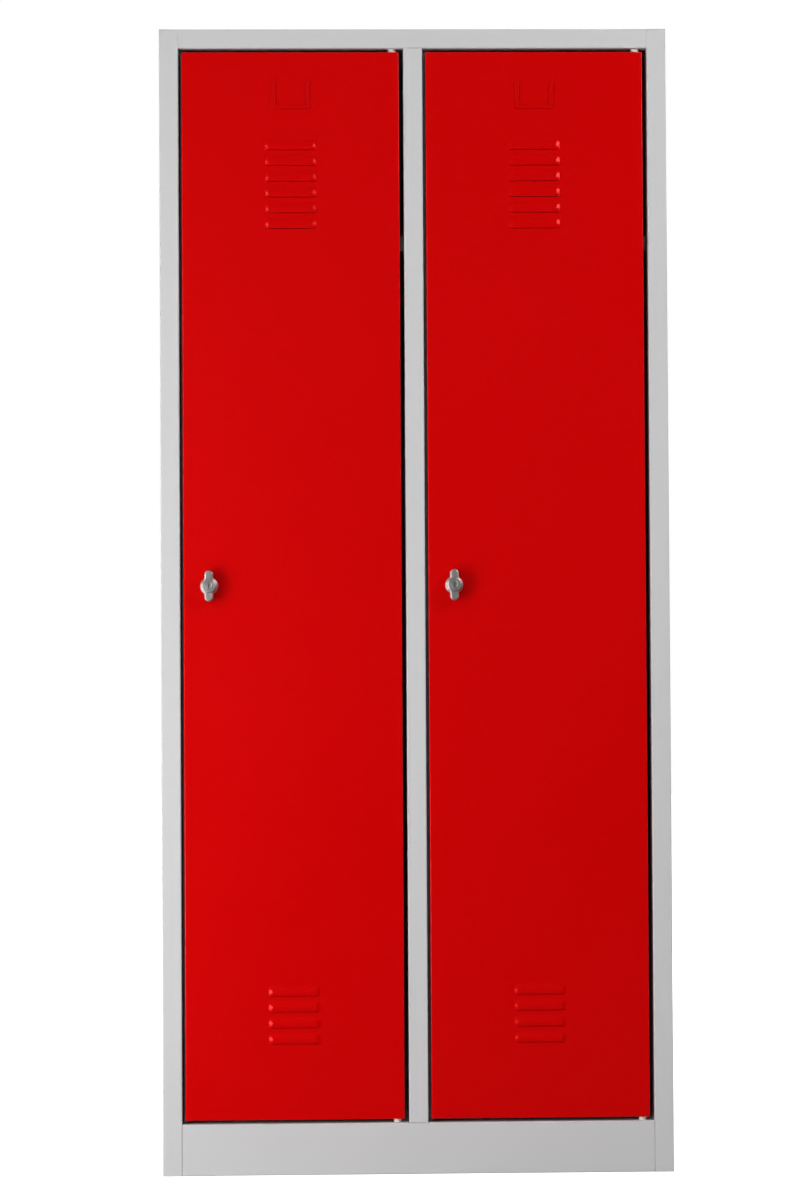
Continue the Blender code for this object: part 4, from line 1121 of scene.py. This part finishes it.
def clothes_rail(bay):
    node = bay + "_clothes_rail"
    low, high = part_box(node)
    centre = middle(node)
    outer = (RAIL_THICK, RAIL_TALL)
    inner = (RAIL_THICK - 2 * RAIL_WALL, RAIL_TALL - 2 * RAIL_WALL)
    ovals = [(outer, low.x), (outer, high.x), (inner, high.x), (inner, low.x)]
    dress(oval_body(bay + "_oval_tube", (0, centre.y, centre.z), ovals, True), node, "zinc_plate")


def rail_socket(bay, side):
    """Moulded cup on the wall that holds one end of the rail, with a softly rounded flange."""
    node = f"{bay}_{side}_rail_socket"
    low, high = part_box(node)
    rail = middle(bay + "_clothes_rail")
    inward, wall = (1, low.x) if middle(node).x < rail.x else (-1, high.x)
    base, deep = SOCKET_BASE, high.x - low.x
    flange = (high.y - low.y, high.z - low.z)
    cup = tuple(size - 2 * SOCKET_RIM for size in flange)
    hollow = tuple(size - 2 * SOCKET_WALL for size in cup)
    # Outline, how far it is drawn in, a level and how far past it; both distances in millimetres
    steps = [(flange, 0, 0, 0), (flange, 0, base, -1.2), (flange, 0.3, base, -0.4), (flange, 1.2, base, 0),
             (cup, -1.2, base, 0), (cup, -0.3, base, 0.4), (cup, 0, base, 1.2),
             (cup, 0, deep, -0.8), (cup, 0.25, deep, -0.25), (cup, 0.8, deep, 0),
             (hollow, -0.6, deep, 0), (hollow, 0, deep, -0.6), (hollow, 0, base, 0)]
    ovals = []
    for (thick, tall), inset, level, past in steps:
        size = (thick - 2 * inset * MM, tall - 2 * inset * MM)
        ovals.append((size, inward * (level + past * MM)))
    moulding = oval_body(f"{bay}_{side}_rail_cup", (wall, rail.y, rail.z), ovals)
    dress(moulding, node, "ivory_nylon")


def hook_outline():
    """Side view of the hook's bar: a stem, a half-round bend and an upturned round tip."""
    half = HOOK_BAR / 2
    ring_bottom = -(RAIL_TALL / 2 + CLEARANCE + HOOK_RING_WALL / 2)
    bend_z = ring_bottom - HOOK_STEM
    stem_y = HOOK_BEND / 3
    bend_y = stem_y - HOOK_BEND
    outer = arc(bend_y, bend_z, HOOK_BEND + half, 0, -pi, 2 * ARC_STEPS)
    inner = arc(bend_y, bend_z, HOOK_BEND - half, 0, -pi, 2 * ARC_STEPS)
    tip = arc(bend_y - HOOK_BEND, bend_z + HOOK_TIP, half, pi, 0, ARC_STEPS)
    return [(stem_y + half, ring_bottom)] + outer + tip + inner[::-1] + [(stem_y - half, ring_bottom)]


def coat_hook(bay, number):
    """Hook that hangs from a ring round the rail."""
    node = f"{bay}_coat_hook_{number}"
    rail = middle(bay + "_clothes_rail")
    centre = (middle(node).x, rail.y, rail.z)
    inner = (RAIL_THICK + 2 * CLEARANCE, RAIL_TALL + 2 * CLEARANCE)
    outer = tuple(size + 2 * HOOK_RING_WALL for size in inner)
    half = HOOK_RING_LENGTH / 2
    ovals = [(outer, -half), (outer, half), (inner, half), (inner, -half)]
    hook = oval_body(f"{bay}_sliding_hook_{number}", centre, ovals, True)
    soften(hook, HOOK_RING_EDGE)
    bar = prism("tool", centre, "X", hook_outline(), -HOOK_THICK / 2, HOOK_THICK / 2)
    soften(bar, HOOK_BAR_EDGE, 4)
    join(hook, bar)
    dress(hook, node, "black_plastic", f"{bay}_hook_{number}")


# Stage, lights and camera

def show(tree, seen, cast, output):
    """One shader to look at, and another for the light that it casts."""
    direct = add_node(tree, "ShaderNodeLightPath").outputs["Is Camera Ray"]
    mixed = add_node(tree, "ShaderNodeMixShader", {0: direct, 1: cast, 2: seen}).outputs[0]
    tree.links.new(mixed, tree.nodes[output].inputs["Surface"])


def plain_floor():
    """Wide pale studio floor that looks white and takes only a faint shadow."""
    bm = bmesh.new()
    bmesh.ops.create_circle(bm, cap_ends=True, segments=96, radius=FLOOR_RADIUS)
    floor = place_object("studio_floor", bm)
    floor.location.z = -FLOOR_DROP
    made, tree, shader = new_material("studio_floor", (0.9, 0.9, 0.9))
    shader["Base Color"].default_value = (0.8, 0.8, 0.8, 1)
    shader["Roughness"].default_value = 0.9
    shader["Specular IOR Level"].default_value = 0.1
    shader["Emission Color"].default_value = (1, 1, 1, 1)
    place = add_node(tree, "ShaderNodeTexCoord").outputs["Object"]
    away = add_node(tree, "ShaderNodeVectorMath", {0: place}, operation="LENGTH").outputs["Value"]
    tree.links.new(spread(tree, away, 0.6, 1.6, 0.72, 1.0), shader["Emission Strength"])
    dull = add_node(tree, "ShaderNodeBsdfDiffuse", {"Color": (0.5, 0.5, 0.5, 1)}).outputs[0]
    show(tree, tree.nodes["Principled BSDF"].outputs[0], dull, "Material Output")
    floor.data.materials.append(made)
    floor.visible_glossy = False


def studio_world():
    """White surround to look at, with a dim even light from it."""
    world = bpy.data.worlds.new("studio")
    bpy.context.scene.world = world
    world.use_nodes = True
    tree = world.node_tree
    white = add_node(tree, "ShaderNodeBackground", {"Color": (1, 1, 1, 1), "Strength": 1.0}).outputs[0]
    dim = {"Color": (0.96, 0.98, 1, 1), "Strength": WORLD_LIGHT}
    soft = add_node(tree, "ShaderNodeBackground", dim).outputs[0]
    show(tree, white, soft, "World Output")


def add_light(name, kind, power, way, mirrored):
    lamp = bpy.data.lights.new(name, kind)
    lamp.energy = power
    thing = link_object(name, lamp)
    thing.rotation_euler = Vector(way).to_track_quat("-Z", "Y").to_euler()
    thing.visible_glossy = mirrored
    return thing


def soft_light(name, place, aim, size, power, mirrored=True):
    thing = add_light(name, "AREA", power, Vector(aim) - Vector(place), mirrored)
    thing.location = place
    thing.visible_camera = False
    thing.data.shape = "RECTANGLE"
    thing.data.size, thing.data.size_y = size


def high_light():
    """Even light from high on the left, like a row of ceiling panels."""
    thing = add_light("high_light", "SUN", HIGH_LIGHT_STRENGTH, HIGH_LIGHT_WAY, False)
    thing.data.angle = HIGH_LIGHT_ANGLE


def photo_camera():
    lens = bpy.data.cameras.new("photo_camera")
    lens.lens = CAMERA_LENS
    camera = link_object("photo_camera", lens)
    place = Matrix.Translation(CAMERA_PLACE)
    for angle, axis in ((-CAMERA_YAW, "Z"), (pi / 2 + CAMERA_PITCH, "X"), (CAMERA_ROLL, "Z")):
        place = place @ Matrix.Rotation(angle, 4, axis)
    camera.matrix_world = place
    bpy.context.scene.camera = camera


# Assembly

def dress_cabinet():
    side_wall("left", LEFT, 1)
    side_wall("right", RIGHT, -1)
    for make in (back_wall, roof, plinth_board, locker_floor, middle_stile, partition_wall):
        make()
    for bay in BAYS:
        strike_angle(bay)
        shelf_tray(bay)


def dress_door(bay):
    for make in (door_skin, door_channel, label_holder):
        make(bay)
    for end in ENDS:
        for make in (hinge_bush, pivot_pin, corner_plate, door_buffer):
            make(bay, end)


def dress_lock(bay):
    for make in (lock_housing, lock_nut, turn_knob, key_cylinder, latch_cam, tongue_screw):
        make(bay)


def dress_compartment(bay):
    clothes_rail(bay)
    for side in ("wall", "partition"):
        rail_socket(bay, side)
    for number in range(1, HOOK_COUNT + 1):
        coat_hook(bay, number)


def dress_locker():
    dress_cabinet()
    for bay in BAYS:
        dress_door(bay)
        dress_lock(bay)
        dress_compartment(bay)


def set_stage():
    plain_floor()
    studio_world()
    high_light()
    for light in LIGHTS:
        soft_light(*light)
    photo_camera()
    bpy.context.scene.view_settings.view_transform = "Standard"


dress_locker()
set_stage()

bpy.context.view_layer.update()
